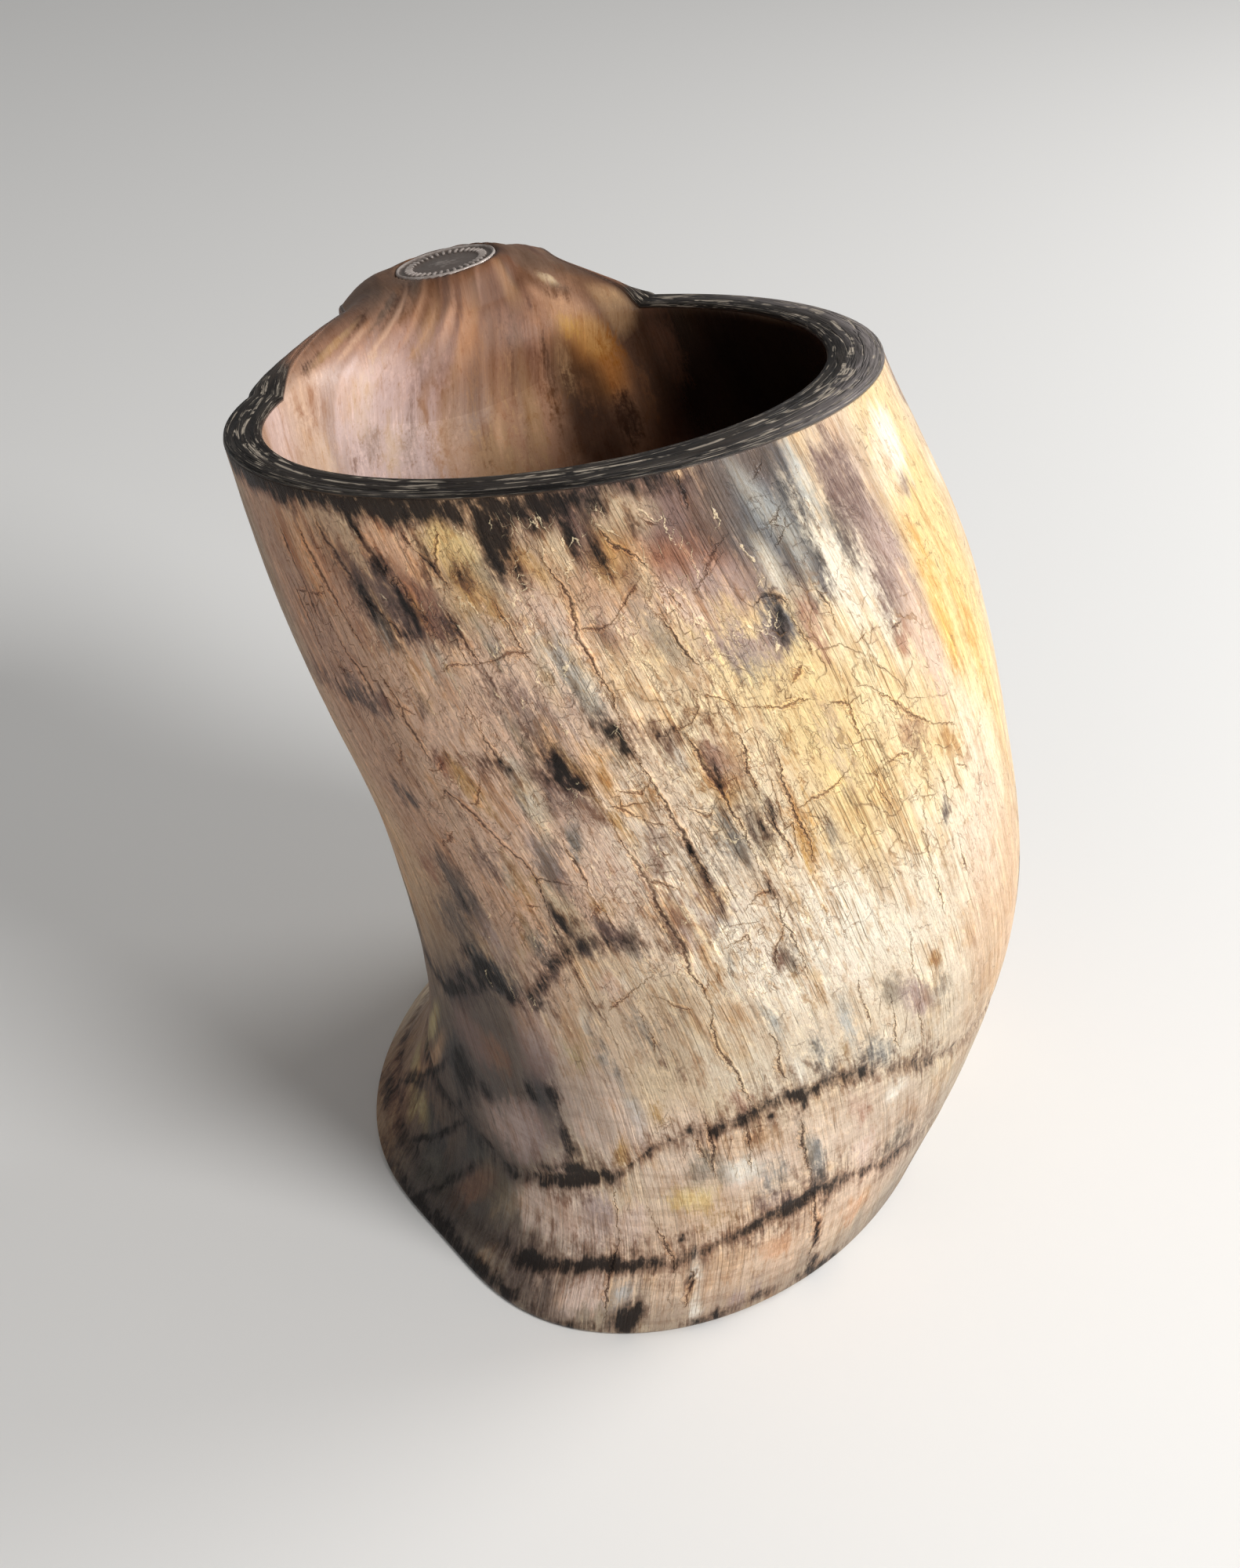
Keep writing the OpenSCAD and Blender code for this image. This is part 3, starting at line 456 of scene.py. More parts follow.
# Dark stains, and a painted contact shadow along the foot's bottom edge: angle, share, half width, half height, slant,
# strength
wallStainsAndFootShade = [
    (-156, 99.8, 24, 1.5, 0, 0.95), (-128, 99.2, 14, 1.7, 0, 1.0), (-108, 99.3, 12, 1.2, 0, 0.95), (-90, 99.8, 8, 1, 0, 0.7),
    (-114.5, 97, 3, 3, 0.1, 1.0), (-116, 94, 1.8, 2.6, 0.2, 0.9), (-113, 92.5, 1, 1.4, 0.2, 0.8), (-107, 98, 2, 1.4, 0.1, 0.8),
    (-103.5, 96.5, 0.9, 2.6, 0.1, 0.9), (-100.4, 94.5, 1, 2.6, 0.2, 0.8), (-98, 98, 2, 1, 0.1, 0.7), (-88, 98.8, 4, 0.9, 0, 0.6),
    (-137.6, 97, 1, 2, 0.3, 0.8), (-135.4, 93, 1.8, 1.4, 0.3, 0.85), (-133.6, 89, 1.2, 2.6, 0.3, 0.75), (-136, 86.4, 1.8, 0.9, 0.2, 0.7),
    (-141, 89, 1.4, 2.6, 0.2, 0.75), (-139, 86, 1, 2, 0.2, 0.6), (-126, 94.4, 1, 1.6, 0.3, 0.8), (-127.5, 92.6, 2, 0.9, 0, 0.5),
    (-126.4, 87.6, 1.4, 1.2, 0.3, 0.55), (-129, 97.6, 1, 1.6, 0.1, 0.7), (-121.6, 92.4, 1.4, 1.6, 0.2, 0.5), (-150.4, 97.6, 1, 1.6, 0, 0.6),
    (-93.5, 96, 0.8, 1.6, 0.1, 0.5), (-79.2, 84, 1.2, 2.4, -0.1, 0.75), (-78, 86.4, 1.2, 1, 0, 0.6), (-68, 92, 1, 2, 0, 0.35),
    (-109.5, 76.3, 1.3, 1.1, 0.2, 1.0), (-108.4, 74.6, 0.9, 1.2, 0.2, 0.9), (-111, 77.6, 1.4, 1.4, 0.1, 0.5), (-103, 76, 3, 0.7, 0, 0.35),
    (-119.8, 72.8, 1.2, 1.5, 0.2, 1.0), (-118.6, 70.8, 2.2, 0.9, 0.2, 0.95), (-121.5, 71.4, 1.5, 0.7, 0, 0.7), (-128, 72.6, 1.4, 0.5, 0, 0.7),
    (-92.8, 65, 0.7, 1.6, 0.2, 0.9), (-91.4, 66, 0.7, 1.4, 0.2, 0.8), (-97.2, 71.4, 0.6, 2.4, 0.3, 0.7), (-95.8, 66, 0.6, 2, 0.3, 0.6),
    (-104.8, 64, 0.8, 1.4, 0.3, 0.85), (-103.4, 59.6, 0.5, 2.4, 0.3, 0.7), (-94.6, 58, 0.6, 1.8, 0.2, 0.7), (-88, 71, 0.5, 2.4, 0.1, 0.45),
    (-130, 54, 0.9, 2, 0.3, 0.9), (-131.2, 57, 0.5, 1.6, 0.3, 0.7), (-126.5, 54.6, 1.6, 0.6, 0, 0.5), (-129.4, 51.4, 1.4, 1, 0.3, 0.6),
    (-150, 43.6, 3.6, 1.8, 0.3, 1.0), (-153, 42, 1.4, 1.6, 0.3, 0.9), (-145.6, 42, 1.2, 1.3, 0.3, 0.9), (-158, 40.4, 3, 1, -1.4, 0.8),
    (-163, 37, 3, 1.4, -1.4, 0.85), (-139.6, 42.4, 2, 0.8, -1.4, 0.6), (-155, 45, 2, 0.9, -1.4, 0.7), (-150.6, 53, 1, 1.6, 0.3, 0.5),
    (-143.5, 28.6, 1.6, 1.3, 0.2, 0.9), (-138.6, 29.6, 1.6, 2, 0.4, 0.85), (-135.6, 24, 1.2, 2.6, 0.5, 0.75), (-133.6, 22.6, 1, 1, 0.4, 0.7),
    (-131, 20, 6, 0.9, -0.5, 0.95), (-138, 18.4, 4, 0.8, -0.8, 0.7), (-119.8, 24.4, 0.8, 1.2, -0.6, 0.8), (-113.2, 27.4, 0.9, 1, 0, 0.9),
    (-108.6, 27.2, 1.6, 0.6, 0, 0.8), (-104.6, 28, 1.6, 0.6, 0, 0.85), (-101.6, 29.2, 1.2, 1, 0.3, 0.9), (-99, 28.4, 1.2, 0.6, 0, 0.8),
    (-94.4, 31, 1.6, 0.9, 0.2, 1.0), (-93, 29.8, 0.7, 1.6, 0.3, 0.9), (-91.2, 31.2, 0.9, 0.8, 0.2, 0.95), (-85, 30.4, 0.6, 1, 0.3, 0.75),
    (-82.4, 31, 0.7, 1.2, 0.4, 0.95), (-79.6, 31.4, 0.6, 0.7, 0, 0.6), (-75.6, 28.8, 1.4, 0.6, 0.8, 0.6), (-69.6, 28.6, 0.7, 1.4, 0.4, 0.75),
    (-66, 26, 1.4, 0.6, 0.8, 0.5), (-58.6, 25, 1.4, 0.7, 0.6, 0.7), (-165, 24, 5, 4, 0, 0.85), (-157, 24, 3, 1.6, 0, 0.7),
    (-158, 15.4, 3, 0.9, 0, 0.8), (-149, 13.6, 4, 0.7, -0.4, 0.8), (-141, 16, 4, 0.6, -0.6, 0.8), (-168, 17, 2, 1, 0, 0.6),
    (-121.6, 9.2, 2.2, 0.8, 0, 1.0), (-117, 9, 2, 0.5, 0, 0.9), (-128, 7.6, 3, 0.7, 0, 0.95), (-136, 5.6, 4, 0.6, 0, 0.8),
    (-112.6, 2.4, 3, 2.3, 0.3, 0.95), (-112, 9.4, 1.6, 0.5, 0, 0.7), (-110, 13, 1, 0.9, 0.3, 0.7), (-97, 12.8, 1.6, 0.6, 0, 0.75),
    (-91.6, 13.8, 2, 0.6, 0, 0.85), (-86.4, 15, 1.4, 0.8, 0, 0.9), (-84, 13, 0.8, 2, 0.6, 0.6), (-81, 7.4, 0.8, 3, 0.6, 0.85),
    # The wide low spots at shares 0.6 to 3, at -97, -88, -75, -155, -122 and -195, are painted contact shadow along the
    # bottom edge.
    (-77.4, 2.6, 1.2, 1.4, 0.6, 0.9), (-104.4, 6.8, 0.8, 1.6, 0.6, 0.8), (-97, 1.2, 5, 1, 0, 0.7), (-88, 2, 4, 0.8, 0, 0.6),
    (-75, 1, 6, 1, 0, 0.8), (-155, 1, 26, 1.2, 0, 0.85), (-122, 0.6, 6, 0.8, 0, 0.6), (-182, 15, 1.4, 9, -1.4, 0.8),
    (-190, 8, 1.2, 7, -1.4, 0.7), (-172, 10, 1.2, 7, -1.2, 0.8), (-164, 6, 1.4, 5, -0.8, 0.7), (-195, 3, 6, 1.6, 0, 0.7),
]
# The lining and the strip's upper side share one map: the share goes on past the mouth
liningTints = [
    (107, 96, 60, 18, 0, "salmon", 0.9), (108, 86, 12, 8, 0, "pink", 0.7), (128, 92, 18, 14, 0, "shell", 0.95), (153, 95, 8, 9, 0, "blush", 0.6),
    (163, 97, 8, 6, 0, "shell", 0.8), (142, 94, 5, 12, 0, "lilac", 0.7), (100, 88, 7, 12, 0, "tan", 0.8),
    (112, 104, 26, 6, 0, "clay", 0.85), (104, 104, 22, 5, 0, "brown", 0.6), (137, 106, 12, 4.4, 0, "clay", 0.8), (80, 100, 8, 3.4, 0, "peach", 0.6), (60, 96, 10, 20, 0, "umber", 0.9),
    (76, 94, 8, 5.5, 0, "amber", 0.8), (80, 85, 7, 7, 0, "umber", 0.95), (48, 90, 14, 16, 0, "black", 0.85),
    (20, 90, 34, 30, 0, "black", 0.95), (-10, 90, 40, 30, 0, "black", 0.95), (-60, 80, 60, 40, 0, "umber", 0.9),
    (-140, 80, 50, 40, 0, "tan", 0.6), (90, 40, 180, 36, 0, "umber", 0.8), (107, 112, 60, 7, 0, "dusk", 0.95),
    (154, 107.5, 8, 6, 0, "clay", 0.7), (67, 104.6, 6, 3, 0, "brown", 0.6), (64, 101.6, 4, 3, 0, "tan", 0.85), (107, 150, 60, 40, 0, "brown", 0.9),
    (112, 186, 30, 24, 0, "tan", 0.7), (81, 94.5, 5, 4, 0, "umber", 0.6), (80, 92, 6, 5, 0, "coal", 0.6), (73, 98.6, 4, 2, 0, "gold", 0.3),
]
liningMarks = [
    (112, 104.4, 30, 2.2, 0, "brown", 0.6), (124, 103.4, 1.8, 3, 0.9, "glow", 0.45), (113, 99.6, 2.4, 2.4, 0.5, "glow", 0.75), (114, 103.2, 3, 1.8, 0.5, "clay", 0.7), (120, 100.6, 1, 2.4, 1.6, "glow", 0.4),
    (108, 104.6, 2, 1.2, 0, "umber", 0.6), (103, 105.4, 3, 1, 0, "dusk", 0.6), (117, 101.4, 1.2, 1.6, 0.4, "brown", 0.7), (92, 104.4, 2, 1.4, 0.4, "clay", 0.7),
    (100, 102.6, 1, 2.4, 0.9, "pink", 0.6), (95, 105.6, 2.4, 1, 0, "umber", 0.5), (88, 104.8, 2, 1.6, -0.4, "dusk", 0.6), (86, 102, 1.2, 2, 0.5, "clay", 0.7),
    (106, 97.5, 1.6, 4, 0.6, "ochre", 0.7), (117, 103, 1, 2, 0.6, "umber", 0.5), (82, 103.4, 2, 1.4, 0, "glow", 0.7), (75, 106, 2, 1.2, 0, "cream", 0.7),
    (74, 104.4, 2.4, 0.8, 0, "dusk", 0.5), (78, 99.6, 3, 1.6, 0, "gold", 0.5), (131, 106.6, 2, 2.4, 0.5, "umber", 0.7), (136, 107, 1.6, 2, 0.5, "dusk", 0.8), (133, 104.6, 1.2, 3, 0.5, "pink", 0.7),
    (112, 92, 1.2, 9, 0.1, "brown", 0.4), (104, 90, 1.2, 9, 0.1, "umber", 0.3), (100, 92, 1.6, 8, 0.2, "glow", 0.85), (95, 90, 1.4, 9, 0.1, "umber", 0.35),
    (91, 93, 1.2, 6, 0.1, "salmon", 0.7), (107.5, 94, 1.6, 7, 0.2, "glow", 0.85), (86, 93, 1.4, 7, 0.1, "umber", 0.5), (117, 90, 1, 7, 0.2, "clay", 0.4),
    (110, 93, 2, 6, 0.5, "tan", 0.6), (115, 96, 1.6, 5, 0.8, "pink", 0.6), (102, 94, 1.4, 6, 0.4, "pink", 0.7), (99, 95, 1.2, 5, 0.4, "brown", 0.5), (94, 92, 1.2, 6, 0.3, "pink", 0.6),
    (104, 103, 3, 4, 0.3, "brown", 0.75), (98, 100, 2.6, 5, 0.4, "brown", 0.7), (113, 103.6, 2, 3, 0.5, "dusk", 0.6),
    (122, 103.6, 2.4, 3, 0.5, "brown", 0.75), (128, 100, 1.6, 3, 0.4, "rust", 0.4), (93, 97, 3, 5, 0.3, "brown", 0.5), (106, 98, 3, 3, 0, "peach", 0.7), (120, 100, 3, 3, 0.3, "tan", 0.6),
    (97, 89, 2, 8, 0, "salmon", 0.7), (92, 88, 1.6, 8, 0, "tan", 0.7), (87, 90, 1.8, 5, 0, "brown", 0.4), (89, 95, 2, 3, 0, "clay", 0.7),
    (90, 103, 3, 2.4, 0, "tan", 0.7), (83, 106, 5, 2, 0, "brown", 0.8), (76, 103.4, 3, 1.2, 0, "brown", 0.6),
    (133, 97, 4, 4, 0, "blush", 0.6), (126, 90, 3, 5, 0.3, "blush", 0.7), (121, 91, 2, 5, 0.4, "lilac", 0.6), (131, 92, 2.4, 3, 0.4, "lilac", 0.7), (139, 96, 1.6, 6, 0.3, "shell", 0.8), (136, 90, 2, 3, 0.4, "purple", 0.35), (112, 88, 5, 6, 0, "pink", 0.7),
    (106, 92, 4, 4, 0.4, "lilac", 0.6), (116, 97, 6, 2, 0, "lilac", 0.6), (146, 90, 3, 8, 0, "blush", 0.7),
    (148, 99, 4, 2.4, 0, "rust", 0.4), (150, 103.4, 3, 1.4, 0, "umber", 0.6), (144, 107, 3, 2, 0, "umber", 0.5), (147, 104.8, 2, 2, 0.6, "tan", 0.7), (141, 103.6, 2, 2, 0.6, "pink", 0.6),
    (79, 91, 3, 4, 0, "brown", 0.5), (70, 97, 4, 3, 0, "amber", 0.6), (66, 90, 3, 5, 0, "brown", 0.6),
    (72, 87, 3, 4, 0, "umber", 0.9), (57, 96, 4, 6, 0, "umber", 0.8), (82, 96, 2, 4, 0.2, "tan", 0.5),
    (126, 108, 3, 3, 0.4, "dusk", 0.8), (117, 108, 2, 3, 0.4, "brown", 0.7), (108, 108.6, 2, 3, 0, "umber", 0.8),
    (99, 107.6, 2, 3, -0.3, "brown", 0.6), (133, 107, 2, 3, 0.5, "umber", 0.6),
]
# Cracks and scratches on the outer wall: half width in mm, then points of angle and share.
# Lines of one list keep clear of each other.
crackLines = [
    (0.3, (-108, 98.5), (-107.8, 92), (-108, 88), (-108.3, 83), (-108, 78), (-107.5, 73), (-106, 67.5), (-104.8, 64), (-103.4, 59), (-103, 56)),
    (0.6, (-150.5, 97), (-149.5, 93), (-148, 89), (-147, 86), (-146, 83)), (0.6, (-138, 98), (-136.5, 95), (-135, 92.5), (-132.5, 90), (-129, 85)),
    (0.3, (-129, 97), (-127, 94.5), (-123, 90.5)), (0.15, (-120, 92), (-118.5, 89), (-117.5, 85), (-116.5, 80)),
    (0.22, (-100, 97), (-98, 94.5), (-95, 93), (-93.5, 91), (-92.5, 88.5), (-91.5, 86)), (0.25, (-84, 100), (-84.2, 98), (-85, 96)),
    (0.35, (-82, 86), (-79.5, 87), (-77, 86.5), (-76.2, 85.5), (-76.2, 83), (-76, 80)),
    (0.3, (-100, 77), (-98.5, 72), (-97, 67), (-95.3, 62), (-94.2, 57), (-93.2, 52), (-92, 46)),
    (0.28, (-93, 76), (-92, 69), (-91, 65), (-90, 60)), (0.2, (-88.5, 75), (-88, 69), (-86.8, 64), (-86, 58)),
    (0.35, (-144, 67), (-142, 68.5), (-139.5, 67), (-137.5, 65.3), (-134, 62.3), (-132.5, 61.3), (-132, 57), (-131, 52),
     (-129, 46), (-127.5, 43), (-125, 38), (-122.5, 35), (-119, 31)),
    (0.45, (-116.5, 70), (-115, 67), (-114, 63), (-113, 60), (-112, 55), (-111, 51), (-109.5, 47.5), (-108.5, 45), (-109, 42), (-107, 38), (-103, 32), (-101, 29)),
    (0.35, (-94, 28), (-92.5, 25), (-91, 22), (-87.5, 16), (-85, 13), (-82.5, 10), (-80, 6), (-77, 1)),
    (0.2, (-119, 18), (-115, 14.5), (-111, 11), (-109, 9), (-105, 2)), (0.3, (-99.5, 41), (-98, 37), (-96, 33)),
    (0.25, (-125, 20), (-122.5, 14), (-121, 10), (-118.5, 5), (-115.5, 1)), (0.22, (-124.2, 66), (-123, 60), (-121.5, 54)),
    (0.18, (-72.5, 49), (-72.3, 43), (-71, 39), (-69.5, 33), (-68, 29)), (0.2, (-58.7, 64), (-58.4, 60)), (0.2, (-57.5, 55), (-56.5, 50)),
    (0.2, (-96.5, 90), (-95, 85), (-93, 81)), (0.2, (-70.5, 87), (-70, 82)), (0.25, (-111, 32), (-109, 26), (-106, 20)),
    (0.15, (-78, 42), (-76, 36), (-73, 30)), (0.25, (-103, 28), (-102, 25), (-100.5, 21)), (0.15, (-83.5, 45), (-82.5, 41), (-81, 36)),
    (0.4, (-157, 96), (-156, 90), (-154, 84)), (0.15, (-66, 60), (-65.5, 54), (-64, 48)),
    (0.45, (-145, 98), (-143, 93), (-141, 90)), (0.4, (-142, 91), (-139, 88), (-136.5, 85.5)), (0.4, (-133.5, 93), (-131.5, 89), (-131, 86)),
    (0.35, (-161, 90), (-160, 82), (-157, 74)), (0.4, (-152, 88), (-151, 82), (-149, 77)), (0.3, (-146, 82), (-144, 76), (-142, 71)),
    (0.35, (-127.6, 90), (-126, 86), (-124.5, 82)), (0.3, (-131, 80), (-130, 75), (-128.5, 71)),
]
scratchLines = [
    (0.45, (-133, 82.5), (-128, 83.5), (-123, 84), (-119, 85), (-116, 85.3)), (0.35, (-147, 78.7), (-144, 77.6), (-141, 77)),
    (0.25, (-160, 88), (-155, 88.5), (-150, 89.7)), (0.28, (-108, 87), (-104.5, 86.8), (-100, 89), (-96, 91.3)),
    (0.3, (-80.5, 93.6), (-85, 91.5), (-89.5, 88.6)), (0.22, (-96, 80.3), (-92, 78.2), (-88, 77), (-84, 76.2), (-81, 76.5), (-77, 75.7)),
    (0.3, (-76, 75.6), (-73.5, 74.8), (-73, 72), (-72.5, 68), (-71.5, 64), (-70, 61.3)),
    (0.3, (-71, 76), (-68, 75.6), (-65, 73.2), (-62.5, 71.3), (-58, 69), (-54, 67.8), (-51, 66.8)),
    (0.2, (-88, 65.8), (-84, 66.6), (-78, 67.6), (-75, 68.4)), (0.2, (-71, 67), (-68, 67.5), (-64.5, 67.4), (-65.8, 64.8)),
    (0.2, (-95.5, 79), (-98, 76.5), (-101, 76)), (0.3, (-143.5, 70.7), (-141.3, 70.9), (-140, 72.2)),
    (0.25, (-139, 67.6), (-137, 67.5), (-135, 69.5), (-133.5, 71.7)), (0.35, (-150, 60.3), (-147.5, 61.5), (-144.3, 63.4)),
    (0.25, (-132, 59.5), (-129, 59.7), (-126, 59.6)), (0.25, (-113.5, 60.5), (-110.5, 60), (-108, 59.4)),
    (0.25, (-115, 68.7), (-112, 68), (-109, 66.8), (-106.3, 66.4)), (0.2, (-112.5, 70.3), (-109, 70), (-106.5, 71)),
    (0.2, (-105, 68.6), (-103, 68), (-101, 67), (-99.5, 67.1), (-97.5, 69.4)), (0.18, (-105, 52.2), (-102, 53), (-100.4, 53.6), (-100.2, 50.5)),
    (0.25, (-126, 43.7), (-122, 46.2), (-119.5, 47.6), (-116, 50.2)), (0.22, (-118.5, 46.6), (-116, 46), (-114, 45), (-111.3, 44.5)),
    (0.2, (-120.5, 44.6), (-119.5, 42), (-118.8, 38)), (0.2, (-100, 56.3), (-97, 58), (-94, 58.2)), (0.18, (-97.5, 49.5), (-94.5, 53.5), (-92, 57)),
    (0.25, (-113, 27.2), (-110.5, 24.8), (-109, 23)), (0.3, (-106, 9), (-104, 6.5), (-102.5, 3)), (0.2, (-123, 98), (-125, 94.5), (-127.4, 89)),
    (0.16, (-75, 93), (-70, 94.5)), (0.16, (-74.5, 91), (-69.5, 92.8)), (0.16, (-73, 97.5), (-69, 99.4)), (0.2, (-92.5, 96.8), (-90, 95.4)),
    (0.2, (-157, 80), (-152, 80.4)), (0.2, (-68, 80), (-65.5, 80.4)), (0.3, (-60, 79.7), (-57.5, 80)), (0.2, (-136, 56), (-132.5, 56.2)),
    (0.2, (-148, 73), (-151, 70), (-150, 67)), (0.2, (-54, 63), (-51, 62)), (0.3, (-78, 80), (-81, 78)), (0.16, (-110, 64), (-108, 63.2)),
]


def crackField(a, share, lines, seed):
    # for each point: signed distance in mm to the nearest line, nearness, the line's half width there.
    # Each line is refined by moving middles sideways, and its ends run out.
    rand = np.random.RandomState(seed)
    x, y = a * 0.95, share * 1.5
    best, side, wide = np.full(a.shape, 9.0), np.ones(a.shape), np.zeros(a.shape)
    for width, *places in lines:
        line = np.array(places, float) * (0.95, 1.5)
        for _ in range(3):
            run = np.diff(line, axis=0)
            middle = (line[1:] + line[:-1]) / 2 + np.stack([-run[:, 1], run[:, 0]], -1) * (rand.rand(len(run), 1) - 0.5) * 0.22
            finer = np.empty((2 * len(line) - 1, 2))
            finer[::2], finer[1::2] = line, middle
            line = finer
        low, high = line.min(0) - 3, line.max(0) + 3
        near = np.nonzero((x > low[0]) & (x < high[0]) & (y > low[1]) & (y < high[1]))
        run = np.diff(line, axis=0)
        reach = np.stack([x[near], y[near]], -1)[:, None] - line[None, :-1]
        part = np.clip((reach * run).sum(-1) / (run * run).sum(-1), 0, 1)
        away = np.linalg.norm(reach - part[..., None] * run, axis=-1)
        k = away.argmin(1)
        row = np.arange(len(k))
        place = (k + part[row, k]) / len(run)
        cross = run[k, 0] * reach[row, k, 1] - run[k, 1] * reach[row, k, 0]
        nearer = away[row, k] < best[near]
        best[near] = np.where(nearer, away[row, k], best[near])
        side[near] = np.where(nearer, np.where(cross < 0, -1.0, 1.0), side[near])
        fade = 0.55 + 0.45 * np.sin(rand.rand() * 6 + place * (4 + 9 * rand.rand()))
        wide[near] = np.where(nearer, 0.85 * width * fade * smooth(0, 0.2, place) * smooth(1, 0.7, place), wide[near])
    return np.stack([np.minimum(best, 4) * side, smooth(3, 2, best), wide], -1)


def hairLines(count, seed, zone, longest, lean, wide):
    # short scratches at chance places in a zone of angles and shares; lean is the share across the grain
    rand = np.random.RandomState(seed)
    made = []
    for _ in range(count):
        a, y = zone[0] + rand.rand() * (zone[1] - zone[0]), zone[2] + rand.rand() * (zone[3] - zone[2])
        turn = rand.randn() * lean
        long = longest * (0.3 + 0.7 * rand.rand())
        dx, dy = math.sin(turn) * long / 2 / 0.95, math.cos(turn) * long / 2 / 1.5
        bend = rand.randn() * 0.12 * long
        made.append((wide * (1 + 1.5 * rand.rand()), (a - dx, y - dy), (a + bend * math.cos(turn), y + bend * math.sin(turn) * 0.6), (a + dx, y + dy)))
    return made





def chanceSpots(count, seed, zone, wide, high, names, strong):
    # spots at chance places of a zone, with sizes and strengths from 40 to 100 percent of those given
    rand = np.random.RandomState(seed)
    made = []
    for _ in range(count):
        a, y = zone[0] + rand.rand() * (zone[1] - zone[0]), zone[2] + rand.rand() * (zone[3] - zone[2])
        size, much = 0.4 + 0.6 * rand.rand(), strong * (0.4 + 0.6 * rand.rand())
        spot = (a, y, wide * size, high * size * (0.6 + 0.8 * rand.rand()), 0.3 * rand.randn())
        made.append(spot + ((names[rand.randint(len(names))], much) if names else (much,)))
    return made


def chanceCracks(count, seed, zone, long):
    # cracks along the grain at chance places, each a chain of short legs
    rand = np.random.RandomState(seed)
    made = []
    for _ in range(count):
        a, y = zone[0] + rand.rand() * (zone[1] - zone[0]), zone[2] + rand.rand() * (zone[3] - zone[2])
        legs = 3 + rand.randint(4)
        steps = np.cumsum(np.stack([rand.randn(legs) * 1.1, -long / 5 * (0.5 + rand.rand(legs))], -1), axis=0)
        made.append((0.2 + 0.2 * rand.rand(), (a, y)) + tuple((a + dx, max(y + dy, 1)) for dx, dy in steps.tolist()))
    return made


def spotWeight(x, y, spot, inner, outer):
    # 1 inside the spot's ellipse, falling to 0 between the outer and the inner multiple of its size
    cx, cy, hx, hy, slant = spot[:5]
    aside = np.mod(x - cx - slant * (cy - y) + 180, 360) - 180
    r = np.sqrt((aside / hx) ** 2 + ((y - cy) / hy) ** 2)
    return smooth(outer, inner, r)


def paintTints(x, y, spots, base):
    # soft spots laid one over the other
    colour = np.tile(linear(paints[base]), x.shape + (1,))
    for spot in spots:
        w = (spot[6] * spotWeight(x, y, spot, 0.5, 1.45))[..., None]
        colour = colour * (1 - w) + linear(paints[spot[5]]) * w
    return colour


def paintMarks(x, y, spots):
    # colour and cover of the marks; the shader makes a streaky border from the cover
    colour, cover = np.zeros(x.shape + (3,)), np.zeros(x.shape + (1,))
    for spot in spots:
        w = (spot[6] * spotWeight(x, y, spot, 0.3, 1.7))[..., None]
        colour = colour * (1 - w) + linear(paints[spot[5]]) * w
        cover = cover * (1 - w) + w
    return colour / np.maximum(cover, 1e-4), cover[..., 0]


def stainAndShadeCover(x, y, spots):
    dark = np.zeros(x.shape)
    for spot in spots:
        dark = np.maximum(dark, spot[5] * spotWeight(x, y, spot, 0.3, 1.7))
    return dark


def grainPlace(a, share, s, radius=5.0):
    # place on a straight round rod, in centimetres, turned so that the grain runs along it
    turned = (a - grainTurn(a, share)) * footDegrees
    return np.stack(np.broadcast_arrays(radius * np.cos(turned), radius * np.sin(turned), s / 10), -1)


